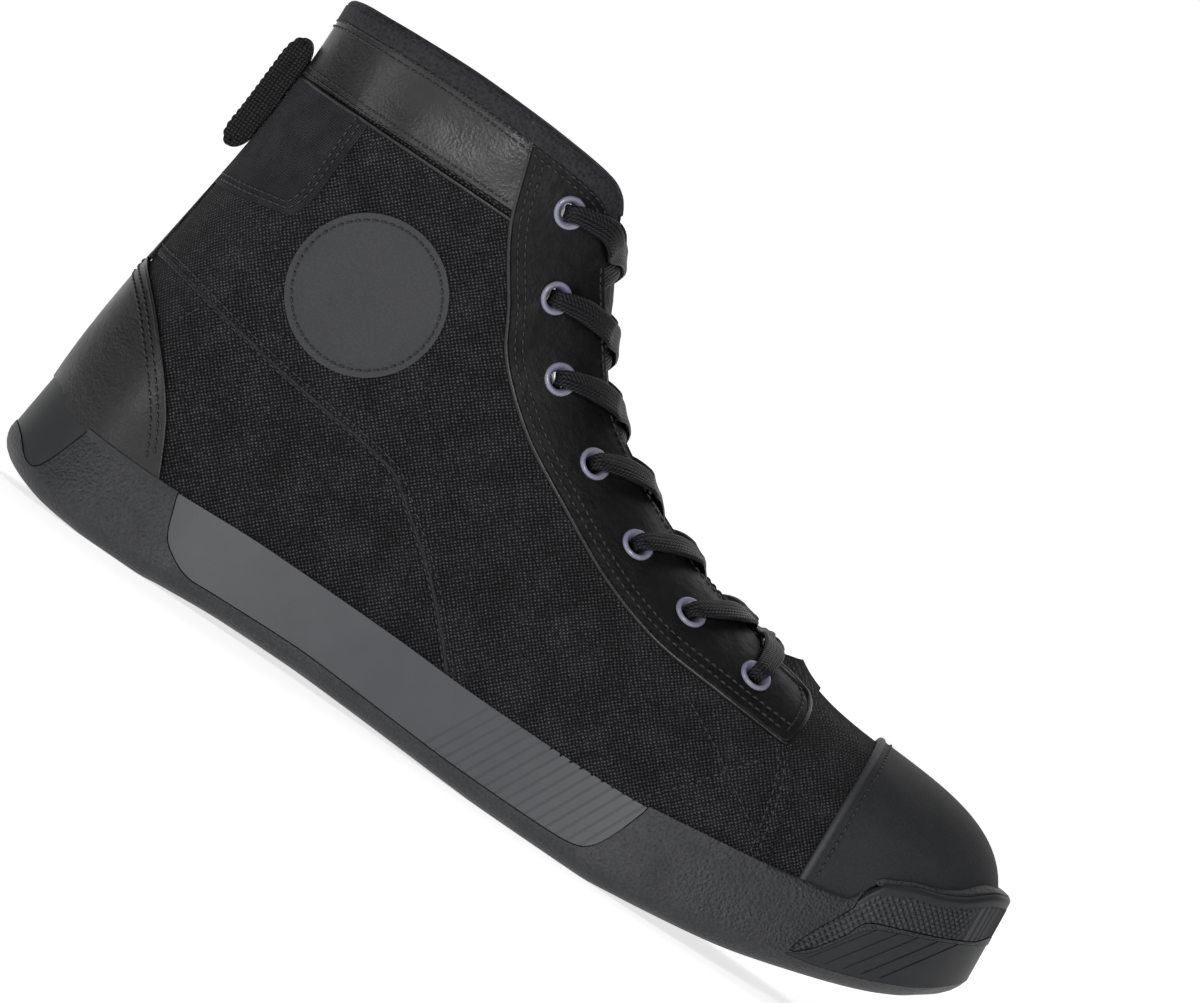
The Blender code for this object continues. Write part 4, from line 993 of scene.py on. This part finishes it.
def edge_station(row, side):
    """The station of the throat's edge that lies nearest to an eyelet."""
    place, _ = eyelet_place(row, side)
    stations = np.arange(3.0, HEEL_STATION - 4.0, 0.02)
    edge = top_edge(stations if side < 0 else ROUND - stations)
    return float(stations[int(np.argmin(np.linalg.norm(edge - place, axis=1)))])


def over_eyestay(row, side, station):
    """The first points of a lace run: up through the eyelet, then along the eyestay to the throat's edge."""
    t, h = eyelet_spot(row, side)
    goal = station if side < 0 else ROUND - station
    centres, normals, widths = [], [], []
    for share, lift, width in LACE_START:
        here = (t + (goal - t) * share, h + (1.0 - h) * share)
        centres.append(skin(*here, lift)[0])
        normals.append(outward(*here)[0])
        widths.append(width)
    return centres, normals, widths


def strap(name, centres, normals, widths):
    """A flat woven lace with rounded edges along a smooth row of points."""
    count = (len(centres) - 1) * 8 + 1
    position = np.linspace(0.0, len(centres) - 1, count)
    middle = through(centres, position)
    along = unit(np.gradient(middle, axis=0))
    across = unit(np.cross(unit(through(normals, position)), along))
    up = 0.5 * LACE_THICKNESS * np.cross(along, across)
    middle = middle + up
    half = 0.5 * LACE_WIDTH * through(np.asarray(widths)[:, None], position)
    profile = LACE_SECTION + tuple((-a, -b) for a, b in LACE_SECTION)
    points = np.stack([middle + a * half * across + b * up for a, b in profile], axis=1)
    run = run_along(middle)
    uv = np.stack([np.stack((a * half[:, 0], run), axis=1) for a, b in profile], axis=1)
    return piece(name, points, capped(count, len(profile)), "lace", uv, sharp=75.0)


def lace_run(name, row, side, route):
    """One end of a lace, from its eyelet and across the throat."""
    centres, normals, widths = over_eyestay(row, side, route[0][0])
    centres += [sheet_point(side, *step) for step in route]
    normals += [sheet_normal(side, t, v) for t, v, lift in route]
    return strap(name, centres, normals, widths + [1.0] * len(route))


def laces():
    """Crossed runs down the throat from each pair of eyelets, and a bar at its foot."""
    last = len(EYELETS) - 1
    for row in range(last):
        runs = []
        for side in (-1.0, 1.0):
            start, goal = edge_station(row, side), edge_station(row + 1, side)
            rise = FOOT_RISE if row == last - 1 else 0.0
            over = LACE_CROSSING if side < 0 else 0.0
            route = []
            for share, lift, crossing in CROSS_ROUTE:
                pad = 0.7 * TONGUE_PAD * math.sin(math.pi * share)
                lift += rise * min(2 * share, 1.0) + over * crossing + pad
                route.append((start + (goal - start) * (0.52 + 0.42 * share), share, lift))
            runs.append(lace_run(f"lace_run_{row}", row, side, route))
        dress(join(f"lace_pair_{row + 1}", runs), "webbing", f"lace_cross_{row + 1}")
    low = edge_station(last, -1.0)
    start, start_up, start_width = over_eyestay(last, -1.0, low)
    end, end_up, end_width = over_eyestay(last, 1.0, low)
    centres = start + [sheet_point(-1.0, low, v, lift) for v, lift in BAR_ROUTE] + end[::-1]
    normals = start_up + [sheet_normal(-1.0, low, v) for v, lift in BAR_ROUTE] + end_up[::-1]
    widths = start_width + [1.0] * len(BAR_ROUTE) + end_width[::-1]
    dress(strap("lace_foot_bar", centres, normals, widths), "webbing", "lace_bar")


def cut_with(thing, cutter):
    """Cuts the eyelets' holes, and keeps their cutter for the next piece."""
    return combine(thing, cutter, "DIFFERENCE", keep_tool=True)


def upper_parts():
    """The canvas upper, its overlays, edges and stitches."""
    holes = eyelets()
    body = shell("upper_canvas", -UPPER_WALL, 0.0, "canvas", below=6.0, rows=50)
    dress(cut_with(body, holes), "canvas", "upper")

    # The quarter's canvas over the rear one, from the curved seam forward
    seam, front = evenly(S_SEAM, 1.5), evenly(QUARTER_FRONT, 1.5)[::-1]
    quarter = np.vstack((beside(seam, -2.0), front, ((225.0, TALL), (BEHIND, TALL))))
    made = overlay("quarter_canvas", quarter, "canvas", -0.3, CANVAS_PLY, 1.4)
    dress(cut_with(made, holes), "canvas")

    # Toe cap, heel counter, collar band and eyestays
    edge = side_curve(CAP_EDGE, BOOT_HEIGHT)
    cap_side = np.vstack((edge, ((LONG, -10.0), (LONG, TALL))))
    dress(overlay("toe_cap_shell", cap_side, "cap"), "cap", "toe_cap")
    edge = side_curve(COUNTER_EDGE, BOOT_HEIGHT)
    counter = np.vstack(((BEHIND, 0.0), (BEHIND, edge[0, 1]), edge))
    dress(overlay("heel_counter_leather", counter, "leather"), "leather", "heel_counter")
    rear, toe_end = side_curve(EYESTAY_BACK, BOOT_HEIGHT), side_curve(EYESTAY_TOE, BOOT_HEIGHT)
    band_end = rear[rear[:, 1] > SEAM_HEIGHT - 1.0] - (0.1, 0.0)
    band = np.vstack(((BEHIND, SEAM_HEIGHT), (BEHIND, TALL), (band_end[0, 0], TALL), band_end))
    dress(overlay("collar_band_leather", band, "leather"), "leather", "collar_band")
    stay = np.vstack((rear, toe_end, ((LONG * 0.5, TALL), (rear[0, 0], TALL))))
    for label, side in SIDES:
        across = (side * BALL_WIDTH, side * 1.5)
        made = overlay(f"eyestay_{label}_leather", stay, "soft_leather", across=across)
        dress(cut_with(made, holes), "leather", f"eyestay_{label}")
    bpy.data.objects.remove(holes)

    # Rear panel of finer cloth, ankle patch and heel webbing
    corners = ((BEHIND, REAR_PANEL[-1][1]), (BEHIND, REAR_PANEL[0][1]))
    panel = np.vstack((evenly(REAR_PANEL, 1.5), corners))
    dress(overlay("rear_panel_cloth", panel, "fine_cloth", 0.3, CANVAS_PLY + 0.45), "canvas")
    made = overlay("ankle_patch_face", patch_ring(PATCH_RADIUS), "patch", across=(-BALL_WIDTH, -1.5))
    dress(made, "patch", "ankle_patch")
    low, reach = COUNTER_EDGE[0][1] * BOOT_HEIGHT, 0.2 * LONG
    strip = ((BEHIND, low), (reach, low), (reach, SEAM_HEIGHT), (BEHIND, SEAM_HEIGHT))
    across = (-0.5 * LOOP_WIDTH, 0.5 * LOOP_WIDTH)
    dress(overlay("heel_strip_webbing", strip, "webbing", across=across), "webbing", "heel_strip")
    edges(seam, rear, toe_end, edge)
    stitch_rows(seam, front, rear, toe_end, edge)
    dress(bead("cap_piping", cap_line(-0.4), 0.95, PIPING_RADIUS, "piping", 14, 0.9), "cap")
    collar_binding()


def patch_ring(radius):
    """A circle round the middle of the ankle patch, in side view."""
    centre = np.array([PATCH_CENTRE]) * (OUTSOLE_LENGTH, BOOT_HEIGHT)
    return rings_round(centre, np.array([(radius, 0.0)]), np.array([(0.0, radius)]), 72)[0]


def patch_ring_closed():
    """The patch's ring of stitches, with its ends laid over each other."""
    ring = patch_ring(PATCH_RADIUS - PATCH_MARGIN)
    return np.vstack((ring, ring[:2]))


def cap_line(offset):
    """The t and h along the toe cap's rear edge, over the foot from one side to the other."""
    t = np.linspace(-4.4, 4.4, 500)
    table = np.array(sorted((z, x) for x, z in CAP_EDGE)) * (BOOT_HEIGHT, OUTSOLE_LENGTH)

    def ahead(t, h):
        here = wall(t, h)
        return here[:, 0] > np.interp(here[:, 2], *table.T) + offset

    low = rim_share(t % ROUND) - 0.012
    in_front = ahead(t, low)
    t, low = t[in_front], low[in_front]
    high = np.ones(t.shape)
    for _ in range(24):
        middle = 0.5 * (low + high)
        beyond = ahead(t, middle)
        low, high = np.where(beyond, middle, low), np.where(beyond, high, middle)
    return t, low


def stitch_rows(seam, front, rear, toe_end, counter):
    """Every row of stitches on the upper."""
    leather_top, stay = EYESTAY_FACE + 0.05, rear[rear[:, 1] < 157.0]
    lines = [(toe_end[2:12] - (2.4, 0.6), leather_top), (((22.0, 61.5), (26.5, 70.0)), 0.1)]
    for inset in (2.2, 4.2):
        lines.append((beside(stay, inset), leather_top))
        lines.append((beside(counter[4:-2], -inset + 0.4), leather_top))
    for inset in (3.0, 5.0):
        lines.append((front[2:-1] - (inset, 0.0), CANVAS_PLY))
    for inset in (0.0, 2.6):
        lines.append((beside(seam, -inset)[2:-1], CANVAS_PLY))
    lines += [(CROSS_RISING, CANVAS_PLY), (CROSS_FALLING, CANVAS_PLY)]
    for rise in (1.8, 3.6):
        lines.append(([(x, SEAM_HEIGHT + rise) for x in (13.0, 40.0, 80.0)], leather_top))
    for inset in (1.6, 3.2):
        lines.append((beside(REAR_PANEL[1:], inset), CANVAS_PLY + 0.5))
    rows = [(*side_path(patch_ring_closed(), -1.0), leather_top), (*cap_line(2.4), leather_top)]
    for side in (-1.0, 1.0):
        rows += [(*side_path(points, side), lift) for points, lift in lines]
        for start, end, distance in EDGE_ROWS:
            t = (start, end) if side < 0 else (ROUND - start, ROUND - end)
            rows.append((*edge_path(*t, distance), leather_top))
    dress(stitches(rows), "webbing")


def edges(seam, rear, toe_end, counter):
    """The rolled edges of the leather and the canvas fold at the seam."""
    leather_lines = (
        (rear[rear[:, 1] < 161.0], 0.6, 0.85),
        (np.vstack((rear[-1:], toe_end)), 0.6, 0.85),
        (counter[3:], 0.65, 0.75),
        ([(x, SEAM_HEIGHT) for x in (13.0, 40.0, 83.0)], 0.65, 0.75),
    )
    rolled, folded = [], []
    for side in (-1.0, 1.0):
        fold = side_path(beside(seam, -1.9)[1:], side)
        folded.append(bead("fold", fold, CANVAS_PLY - 0.55, 0.8, "binding"))
        for points, under, radius in leather_lines:
            rolled.append(bead("edge", side_path(points, side), EYESTAY_FACE - under, radius, "leather"))
    dress(join("leather_edges", rolled), "leather")
    dress(join("canvas_fold", folded), "canvas")


def collar_binding():
    """The tape folded over the collar's edge, and its strip on the outer face."""
    around = np.linspace(BINDING_START, ROUND - BINDING_START, 700)
    binding = bead("collar_binding", (around, np.ones(around.shape)), -0.35, 1.9, "binding", 14)
    t, low = edge_path(around[0], around[-1], BINDING_DEPTH)
    low = np.interp(around, t, low)
    section = [(share, EYESTAY_FACE + 0.3 * (share > 0.02)) for share in (0.0, 0.05, 0.3, 0.6, 0.9)]
    section += [(share, EYESTAY_FACE - 0.1) for share in (0.9, 0.6, 0.3, 0.0)]
    rings = np.stack([skin(around, low + share * (1.0 - low), lift) for share, lift in section], axis=1)
    strip = piece("binding_strip", rings, capped(len(around), len(section)), "binding", sharp=70.0)
    dress(join("collar_binding_cloth", [binding, strip]), "lining")


def heel_x(z, lift):
    """How far back the upper's heel reaches at a height."""
    shares = np.linspace(0.0, 1.0, 400)
    heel = skin(np.full(shares.shape, float(HEEL_STATION)), shares, lift)
    return float(np.interp(z, heel[:, 2], heel[:, 0]))


def pull_loop():
    """A folded webbing loop that stands on the heel strip."""
    path = []
    for off, z in LOOP_PATH:
        z = z * BOOT_HEIGHT
        path.append((heel_x(z, EYESTAY_FACE + GAP) - 0.5 * LOOP_WEBBING - off * LOOP_DEPTH, z))
    count = len(path) * 14
    middle = through(path, np.linspace(0.0, len(path), count, endpoint=False), True)
    along = unit(np.roll(middle, -1, axis=0) - np.roll(middle, 1, axis=0))
    normals = np.column_stack((along[:, 1], -along[:, 0]))
    rib = 0.35 * (np.abs(np.sin(math.pi * run_along(middle) / LOOP_RIB)) - 1.0)[:, None]
    half = 0.5 * LOOP_WIDTH
    outside, inside = 0.5 * LOOP_WEBBING, 0.5 * LOOP_DEPTH - 0.02
    profile = [(outside, half * s) for s in np.linspace(-0.96, 0.96, 9)] + [(0.0, half)]
    profile += [(-inside, half * s) for s in np.linspace(0.96, -0.96, 9)] + [(0.0, -half)]
    rings = []
    for reach, y in profile:
        edge = middle + normals * (reach + rib * (reach > 0.0) * (normals[:, :1] < 0.3))
        bulge = math.copysign(1.0, y) * rib[:, 0] * (reach == 0.0)
        rings.append(np.column_stack((edge[:, 0], y + bulge, edge[:, 1])))
    faces = grid_faces(count, len(profile), loop_rows=True)
    made = piece("pull_loop_webbing", np.stack(rings, axis=1), faces, "webbing", sharp=70.0)
    return dress(made, "webbing", "pull_loop")


# Sizes of the patterns. Threads of cotton and nylon are really about 0.4 apart, pores about 0.2 and the
# tape's ribs 0.5, which is too fine to show in the render, so all of these are drawn coarser. The threads
# wander by up to half of the drift.
CANVAS_THREAD = 0.66
NYLON_THREAD = 0.6
THREAD_DRIFT = 0.8
LEATHER_PORE = 0.77
RUBBER_GRAIN = 0.87
WEBBING_THREAD = 1.0
LACE_THREAD = (1.3, 1.1)
BINDING_KNOT = 1.11

# Ranges of the values of soft noise
WHOLE = (0.0, 1.0)
MIDDLE = (0.3, 0.7)


def hex_colour(text):
    """An sRGB colour such as 1a2b3c as linear red, green, blue and alpha."""
    parts = [int(text[k:k + 2], 16) / 255 for k in (0, 2, 4)]
    return tuple(p / 12.92 if p <= 0.04045 else ((p + 0.055) / 1.055) ** 2.4 for p in parts) + (1.0,)


def connect(tree, made, inputs):
    """Sets or links a node's inputs."""
    for socket, value in inputs.items():
        if isinstance(value, bpy.types.NodeSocket):
            tree.links.new(value, made.inputs[socket])
        else:
            made.inputs[socket].default_value = value


def node(tree, kind, inputs=(), output=0, **settings):
    """Adds a node with its settings and links, and gives one of its outputs."""
    made = tree.nodes.new("ShaderNode" + kind)
    for name, value in settings.items():
        setattr(made, name, value)
    connect(tree, made, inputs if isinstance(inputs, dict) else dict(enumerate(inputs)))
    return made.outputs[output]


def places(tree):
    """Where a point is, in millimetres."""
    spot = node(tree, "TexCoord", output="Object")
    return node(tree, "VectorMath", (spot, (1.0 / MM,) * 3), operation="MULTIPLY")


def mottle(tree, size, detail=2.0, to=WHOLE, between=MIDDLE):
    """Soft blotches about size millimetres across, whose values between two bounds go to two others."""
    blotches = node(tree, "TexNoise", {"Vector": places(tree), "Scale": 1.0 / size, "Detail": detail})
    return node(tree, "MapRange", (blotches, *between, *to))


def crossed(tree, ways, pitches, fullness):
    """Threads that cross at two pitches: how high they stand, and a wave whose sign says which is on top."""
    waves = []
    for way, pitch in zip(ways, pitches):
        turn = node(tree, "Math", (way, math.pi / pitch), operation="MULTIPLY")
        waves.append(node(tree, "Math", (turn,), operation="SINE"))
    both = node(tree, "Math", waves, operation="MULTIPLY")
    level = node(tree, "Math", (both,), operation="ABSOLUTE")
    return node(tree, "Math", (level, fullness), operation="POWER"), both


def weave(tree, pitch):
    """A plain weave of threads that wander a little, from the cloth's own places in millimetres."""
    cloth = node(tree, "UVMap", uv_map="UVMap")
    drift = node(tree, "TexNoise", {"Vector": places(tree), "Scale": 0.5, "Detail": 1.0}, output=1)
    drift = node(tree, "VectorMath", (drift, (THREAD_DRIFT, THREAD_DRIFT, 0.0)), operation="MULTIPLY")
    cloth = node(tree, "VectorMath", (cloth, drift), operation="ADD")
    ways = [node(tree, "SeparateXYZ", (cloth,), output=k) for k in (0, 1)]
    return crossed(tree, ways, (pitch, pitch), 0.5)


def cover(tree, shader, shade, colours, relief, values):
    """Colours the surface from dark to light as the shade goes from 0 to 1, raises it by the depth in
    millimetres of each relief in turn, and sets or links the shader's own inputs."""
    dark, light = (hex_colour(text) for text in colours)
    colour = node(tree, "Mix", {0: shade, 6: dark, 7: light}, output=2, data_type="RGBA")
    under = {}
    for height, depth in relief:
        raised = {"Height": height, "Distance": depth * MM, "Strength": 1.0}
        under = {"Normal": node(tree, "Bump", {**raised, **under})}
    connect(tree, shader, {"Base Color": colour, **under, **values})


def canvas(tree, shader):
    """Threads painted lighter on top and darker in the gaps between them, as painted highlight and painted
    shade, with thick places in the yarn and dye that has worn in patches.
    """
    height, on_top = weave(tree, CANVAS_THREAD)
    shade = node(tree, "MapRange", (on_top, -0.6, 0.6, 0.1, 0.85))
    worn, yarn = mottle(tree, 9.0, 3.0, (-0.15, 0.2)), mottle(tree, 1.1, 1.0, (0.6, 1.4))
    # The colour is multiplied by the threads' height: painted highlight on their tops, painted shade between
    # them
    for operation, value in (("ADD", worn), ("MULTIPLY", height), ("MULTIPLY", yarn), ("POWER", 1.6)):
        shade = node(tree, "Math", (shade, value), operation=operation)
    values = {"Roughness": 0.92, "Sheen Weight": 0.04, "Sheen Roughness": 0.6, "Specular IOR Level": 0.2}
    cover(tree, shader, shade, ("020203", "4e4d53"), [(height, 0.35)], {**values, "IOR": 1.45})


def fine_cloth(tree, shader):
    """Even, close threads that read as one soft dark face, painted lighter on their tops and darker in the
    gaps between them, as painted highlight and painted shade.
    """
    height, on_top = weave(tree, NYLON_THREAD)
    # The colour is multiplied by the threads' height: painted highlight on their tops, painted shade between
    # them
    shade = node(tree, "Math", (height, mottle(tree, 6.0, to=(0.5, 0.9))), operation="MULTIPLY")
    values = {"Roughness": 0.85, "Sheen Weight": 0.04, "Specular IOR Level": 0.2, "IOR": 1.45}
    cover(tree, shader, shade, ("020203", "39383d"), [(height, 0.2)], values)


def hide(tree, shader, colours, crease_depth, polish, specular):
    """Leather's pores, fine creases and uneven polish. The colour uses the creases' own noise, so their
    hollows are painted darker than their ridges, as painted shade.
    """
    pores = {"Vector": places(tree), "Scale": 1.0 / LEATHER_PORE}
    pores = node(tree, "TexVoronoi", pores, feature="SMOOTH_F1")
    creases = mottle(tree, 3.2, 3.0, between=WHOLE)
    relief = [(creases, crease_depth), (pores, 0.06), (mottle(tree, 0.4, between=WHOLE), 0.03)]
    values = {"Roughness": mottle(tree, *polish), "Specular IOR Level": specular, "IOR": 1.5}
    # Same noise as the creases: painted shade in their hollows
    cover(tree, shader, mottle(tree, 3.2, 3.0), colours, relief, values)


def cap(tree, shader):
    """A short nap that brushes lighter and darker in broad clouds."""
    ways = (mottle(tree, 0.45, 3.0, (0.1, 0.6)), mottle(tree, 25.0, 3.0, (-0.1, 0.3)))
    shade = node(tree, "Math", ways, operation="ADD")
    values = {"Roughness": 0.75, "Sheen Weight": 0.04, "Sheen Roughness": 0.5, "Specular IOR Level": 0.4}
    nap = mottle(tree, 0.45, 3.0, between=WHOLE)
    cover(tree, shader, shade, ("131416", "2f3034"), [(nap, 0.12)], {**values, "IOR": 1.5})


def rubber(tree, shader):
    """A moulded grain of small cells, as on a soft sidewall, whose colour uses the same fine noise as part
    of its relief, so the hollows are painted darker as painted shade.
    """
    grain = {"Vector": places(tree), "Scale": 1.0 / RUBBER_GRAIN}
    grain = node(tree, "TexVoronoi", grain, feature="SMOOTH_F1")
    height = node(tree, "Math", (grain, mottle(tree, 0.7, 3.0, between=WHOLE)), operation="ADD")
    values = {"Roughness": mottle(tree, 14.0, to=(0.48, 0.62)), "IOR": 1.52}
    # The colour's noise is the relief's fine noise: painted shade in the hollows
    cover(tree, shader, mottle(tree, 0.7, 3.0), ("141517", "2c2d30"), [(height, 0.24)], values)


def webbing(tree, shader):
    """Thick shiny threads that cross at right angles, with deep gaps; the colour is the threads' height, so
    their tops are painted lighter and the gaps darker, as painted highlight and painted shade.
    """
    x, y, z = (node(tree, "SeparateXYZ", (places(tree),), output=k) for k in range(3))
    around = node(tree, "Math", (x, y), operation="ADD")
    height, on_top = crossed(tree, (around, z), (WEBBING_THREAD, WEBBING_THREAD), 0.5)
    values = {"Roughness": 0.6, "Specular IOR Level": 0.35, "IOR": 1.5}
    # The colour is the threads' height: painted highlight on top, painted shade in the gaps
    cover(tree, shader, height, ("020203", "222225"), [(height, 0.5)], values)


def lace(tree, shader):
    """Strands that meet in chevrons down the middle of the lace; the colour is the strands' height, so their
    tops are painted lighter and the gaps darker, as painted highlight and painted shade.
    """
    cloth = node(tree, "UVMap", uv_map="UVMap")
    across, along = (node(tree, "SeparateXYZ", (cloth,), output=k) for k in (0, 1))
    slant = node(tree, "Math", (across,), operation="ABSOLUTE")
    slant = node(tree, "Math", (slant, 0.9), operation="MULTIPLY")
    along = node(tree, "Math", (along, slant), operation="ADD")
    height, on_top = crossed(tree, (along, across), LACE_THREAD, 0.6)
    values = {"Roughness": 0.5, "Specular IOR Level": 0.3, "IOR": 1.5}
    # The colour is the strands' height: painted highlight on top, painted shade in the gaps
    cover(tree, shader, height, ("020203", "1b1b1f"), [(height, 0.35)], values)


def binding(tree, shader):
    """Small raised knots of a ribbed tape, painted lighter on their tops and darker between them from their
    height, as painted highlight and painted shade.
    """
    knots = node(tree, "TexVoronoi", {"Vector": places(tree), "Scale": 1.0 / BINDING_KNOT})
    height = node(tree, "Math", (knots, mottle(tree, 0.5, between=WHOLE)), operation="ADD")
    # The colour follows the knots' height: painted highlight on top, painted shade between them
    shade = node(tree, "MapRange", (height, 0.4, 1.3, 0.0, 1.0))
    values = {"Roughness": 0.7, "Specular IOR Level": 0.35, "IOR": 1.5}
    cover(tree, shader, shade, ("050506", "27272b"), [(height, 0.3)], values)


def even_face(tree, shader, cloud, colours, grain, values):
    """A plain face, with a soft cloud in its colour and a fine grain."""
    size, detail, between = cloud
    relief = [(mottle(tree, rough, fine, between=WHOLE), depth) for rough, fine, depth in grain]
    cover(tree, shader, mottle(tree, size, detail, between=between), colours, relief, values)


FINISHES = {
    # Light catches the top of every thread, and the tops are also painted lighter as painted highlight, so
    # that the weave shows as fine dots
    "canvas": ("black cotton canvas, plain weave", canvas),
    # A closer weave looks darker and smoother than the canvas beside it
    "fine_cloth": ("black nylon cloth, tight weave", fine_cloth),
    # Polished grain gives the collar and the counter a broad soft shine, broken by creases
    "leather": (
        "black cowhide leather, smooth grain", hide, ("040405", "0e0e10"), 0.11,
        (12.0, 3.0, (0.34, 0.46)), 0.5,
    ),
    # A matte hide stays nearly black and shows its deeper creases only at the edges
    "soft_leather": (
        "black nappa leather, matte", hide, ("050506", "0f0f11"), 0.45,
        (9.0, 3.0, (0.52, 0.68)), 0.25,
    ),
    # Brushed fibres make the toe look dry and slightly cloudy
    "cap": ("grey microfibre, napped", cap),
    # A coated cord is a little lighter than the cap, with a dull shine
    "piping": (
        "grey coated piping", even_face, (0.8, 3.0, WHOLE), ("28292c", "3c3d41"), [(0.8, 3.0, 0.05)],
        {"Roughness": 0.6, "IOR": 1.5},
    ),
    # The leather grain of the mould breaks up the shine of the sidewall
    "rubber": ("dark grey rubber, moulded leather grain", rubber),
    # Smooth rubber lets the relief of the toe show by its own shadows
    "bumper": (
        "dark grey rubber, moulded smooth", even_face, (8.0, 3.0, WHOLE), ("1b1c1e", "28292c"),
        [(0.6, 2.0, 0.03)], {"Roughness": 0.52, "IOR": 1.52},
    ),
    # The panel is the lightest part of the sole, and its smooth face holds a long highlight
    "insert": (
        "mid grey rubber, moulded smooth", even_face, (10.0, 3.0, WHOLE), ("3a3b3f", "46474b"),
        [(0.5, 2.0, 0.025)], {"Roughness": 0.5, "IOR": 1.52},
    ),
    # Coarse threads make the loop and the heel strip look knotted
    "webbing": ("black polyester webbing", webbing),
    # Woven chevrons catch light along the lace, and their strands are also painted lighter on top as painted
    # highlight
    "lace": ("black polyester lace, flat woven", lace),
    # A ribbed tape looks rougher and darker than the leather beside it
    "binding": ("black polyester binding tape", binding),
    # Waxed thread stands a little lighter than the leather and glints; its grey is partly the thread's own
    # tone and partly painted highlight, so that the stitches read as light dashes
    "thread": (
        "black bonded sewing thread", even_face, (0.3, 1.0, WHOLE), ("0e0e10", "2b2b2f"), [],
        {"Roughness": 0.42, "Specular IOR Level": 0.5, "IOR": 1.5},
    ),
    # Thin gloss paint rounds off each ring with a small highlight
    "eyelet": (
        "steel painted lavender grey", even_face, (2.0, 2.0, WHOLE), ("76768a", "8a8a9c"), [],
        {"Roughness": 0.3, "Coat Weight": 0.5, "Coat Roughness": 0.15, "IOR": 1.5},
    ),
    # A fine rubbed face makes the patch an even, dull disc
    "patch": (
        "dark grey rubber, moulded matte", even_face, (0.5, 3.0, MIDDLE), ("1d1e21", "2b2c2f"),
        [(0.5, 3.0, 0.05)], {"Roughness": 0.6, "IOR": 1.5},
    ),
    # Brushed fibres keep the inside dark and without shine
    "lining": (
        "black textile lining, brushed", even_face, (0.6, 3.0, WHOLE), ("151517", "242427"),
        [(0.6, 3.0, 0.12)], {"Roughness": 0.95, "Sheen Weight": 0.2, "IOR": 1.45},
    ),
}


def material(finish):
    """The material of a finish, made the first time that it is asked for."""
    name, apply, *recipe = FINISHES[finish]
    made = bpy.data.materials.get(name)
    if made is None:
        made = bpy.data.materials.new(name)
        made.use_nodes = True
        apply(made.node_tree, made.node_tree.nodes["Principled BSDF"], *recipe)
    return made


# Camera, floor and light, in metres
ROLL = math.radians(34.1)
ELEVATION = math.radians(1.5)
TARGET = Vector((-0.0061, 0.0, 0.0864))
VIEW_WIDTH = 0.331
DISTANCE = 3.2
# The sensor's width is in millimetres
SENSOR_WIDTH = 36.0
SWEEP_START = 4.0
SWEEP_RADIUS = 1.5
LIT_POINT = (0.0, 0.0, 0.07)
# Soft lights: place, size and power in watts
SOFTBOXES = (((0.2, -2.2, 0.8), 0.6, 24.0), ((-1.5, -1.6, 0.3), 0.4, 7.0), ((0.2, 0.9, 1.7), 1.2, 6.0))


def camera():
    """The photograph's view: level with the outer side, far away, and rolled so that the toe points down."""
    data = bpy.data.cameras.new("camera")
    data.sensor_width = SENSOR_WIDTH
    data.lens = SENSOR_WIDTH * DISTANCE / VIEW_WIDTH
    back = Vector((0.0, -math.cos(ELEVATION), math.sin(ELEVATION)))
    level = Vector((1.0, 0.0, 0.0))
    above = back.cross(level)
    right = math.cos(ROLL) * level + math.sin(ROLL) * above
    top = math.cos(ROLL) * above - math.sin(ROLL) * level
    turned = Matrix((right, top, back)).transposed().to_4x4()
    made = bpy.data.objects.new("camera", data)
    made.matrix_world = Matrix.Translation(TARGET + DISTANCE * back) @ turned
    bpy.context.scene.collection.objects.link(made)
    bpy.context.scene.camera = made


def floor():
    """A pale floor that curves up into a backdrop."""
    bend = np.linspace(0.1, 0.5 * math.pi, 16)
    profile = [(-5.0, 0.0), (SWEEP_START, 0.0)]
    profile += [(SWEEP_START + SWEEP_RADIUS * math.sin(a), SWEEP_RADIUS * (1.0 - math.cos(a))) for a in bend]
    profile += [(SWEEP_START + SWEEP_RADIUS, 5.0)]
    points = [(x, y, z) for y, z in profile for x in (-6.0, 6.0)]
    faces = [(2 * k, 2 * k + 1, 2 * k + 3, 2 * k + 2) for k in range(len(profile) - 1)]
    mesh = bpy.data.meshes.new("floor")
    mesh.from_pydata(points, [], faces)
    made = bpy.data.objects.new("floor", mesh)
    bpy.context.scene.collection.objects.link(made)
    paper = bpy.data.materials.new("white paper sweep")
    paper.use_nodes = True
    white, glow = hex_colour("f4f4f4"), hex_colour("ffffff")
    values = {"Base Color": white, "Roughness": 0.95, "Emission Color": glow, "Emission Strength": 0.72}
    connect(paper.node_tree, paper.node_tree.nodes["Principled BSDF"], values)
    mesh.materials.append(paper)
    mesh.shade_smooth()


def softbox(place, size, power):
    """A square soft light that faces the boot."""
    data = bpy.data.lights.new("softbox", "AREA")
    data.shape = "SQUARE"
    data.size = size
    data.energy = power
    made = bpy.data.objects.new("softbox", data)
    made.location = place
    made.rotation_euler = (Vector(LIT_POINT) - Vector(place)).to_track_quat("-Z", "Y").to_euler()
    bpy.context.scene.collection.objects.link(made)


def studio():
    """Three soft lights and a faint even glow."""
    for light in SOFTBOXES:
        softbox(*light)
    world = bpy.data.worlds.new("studio")
    world.use_nodes = True
    values = {"Color": hex_colour("ffffff"), "Strength": 0.05}
    connect(world.node_tree, world.node_tree.nodes["Background"], values)
    bpy.context.scene.world = world
    bpy.context.scene.view_settings.view_transform = "Standard"


camera()
floor()
studio()
sole_parts()
insole()
upper_parts()
tongue()
laces()
pull_loop()
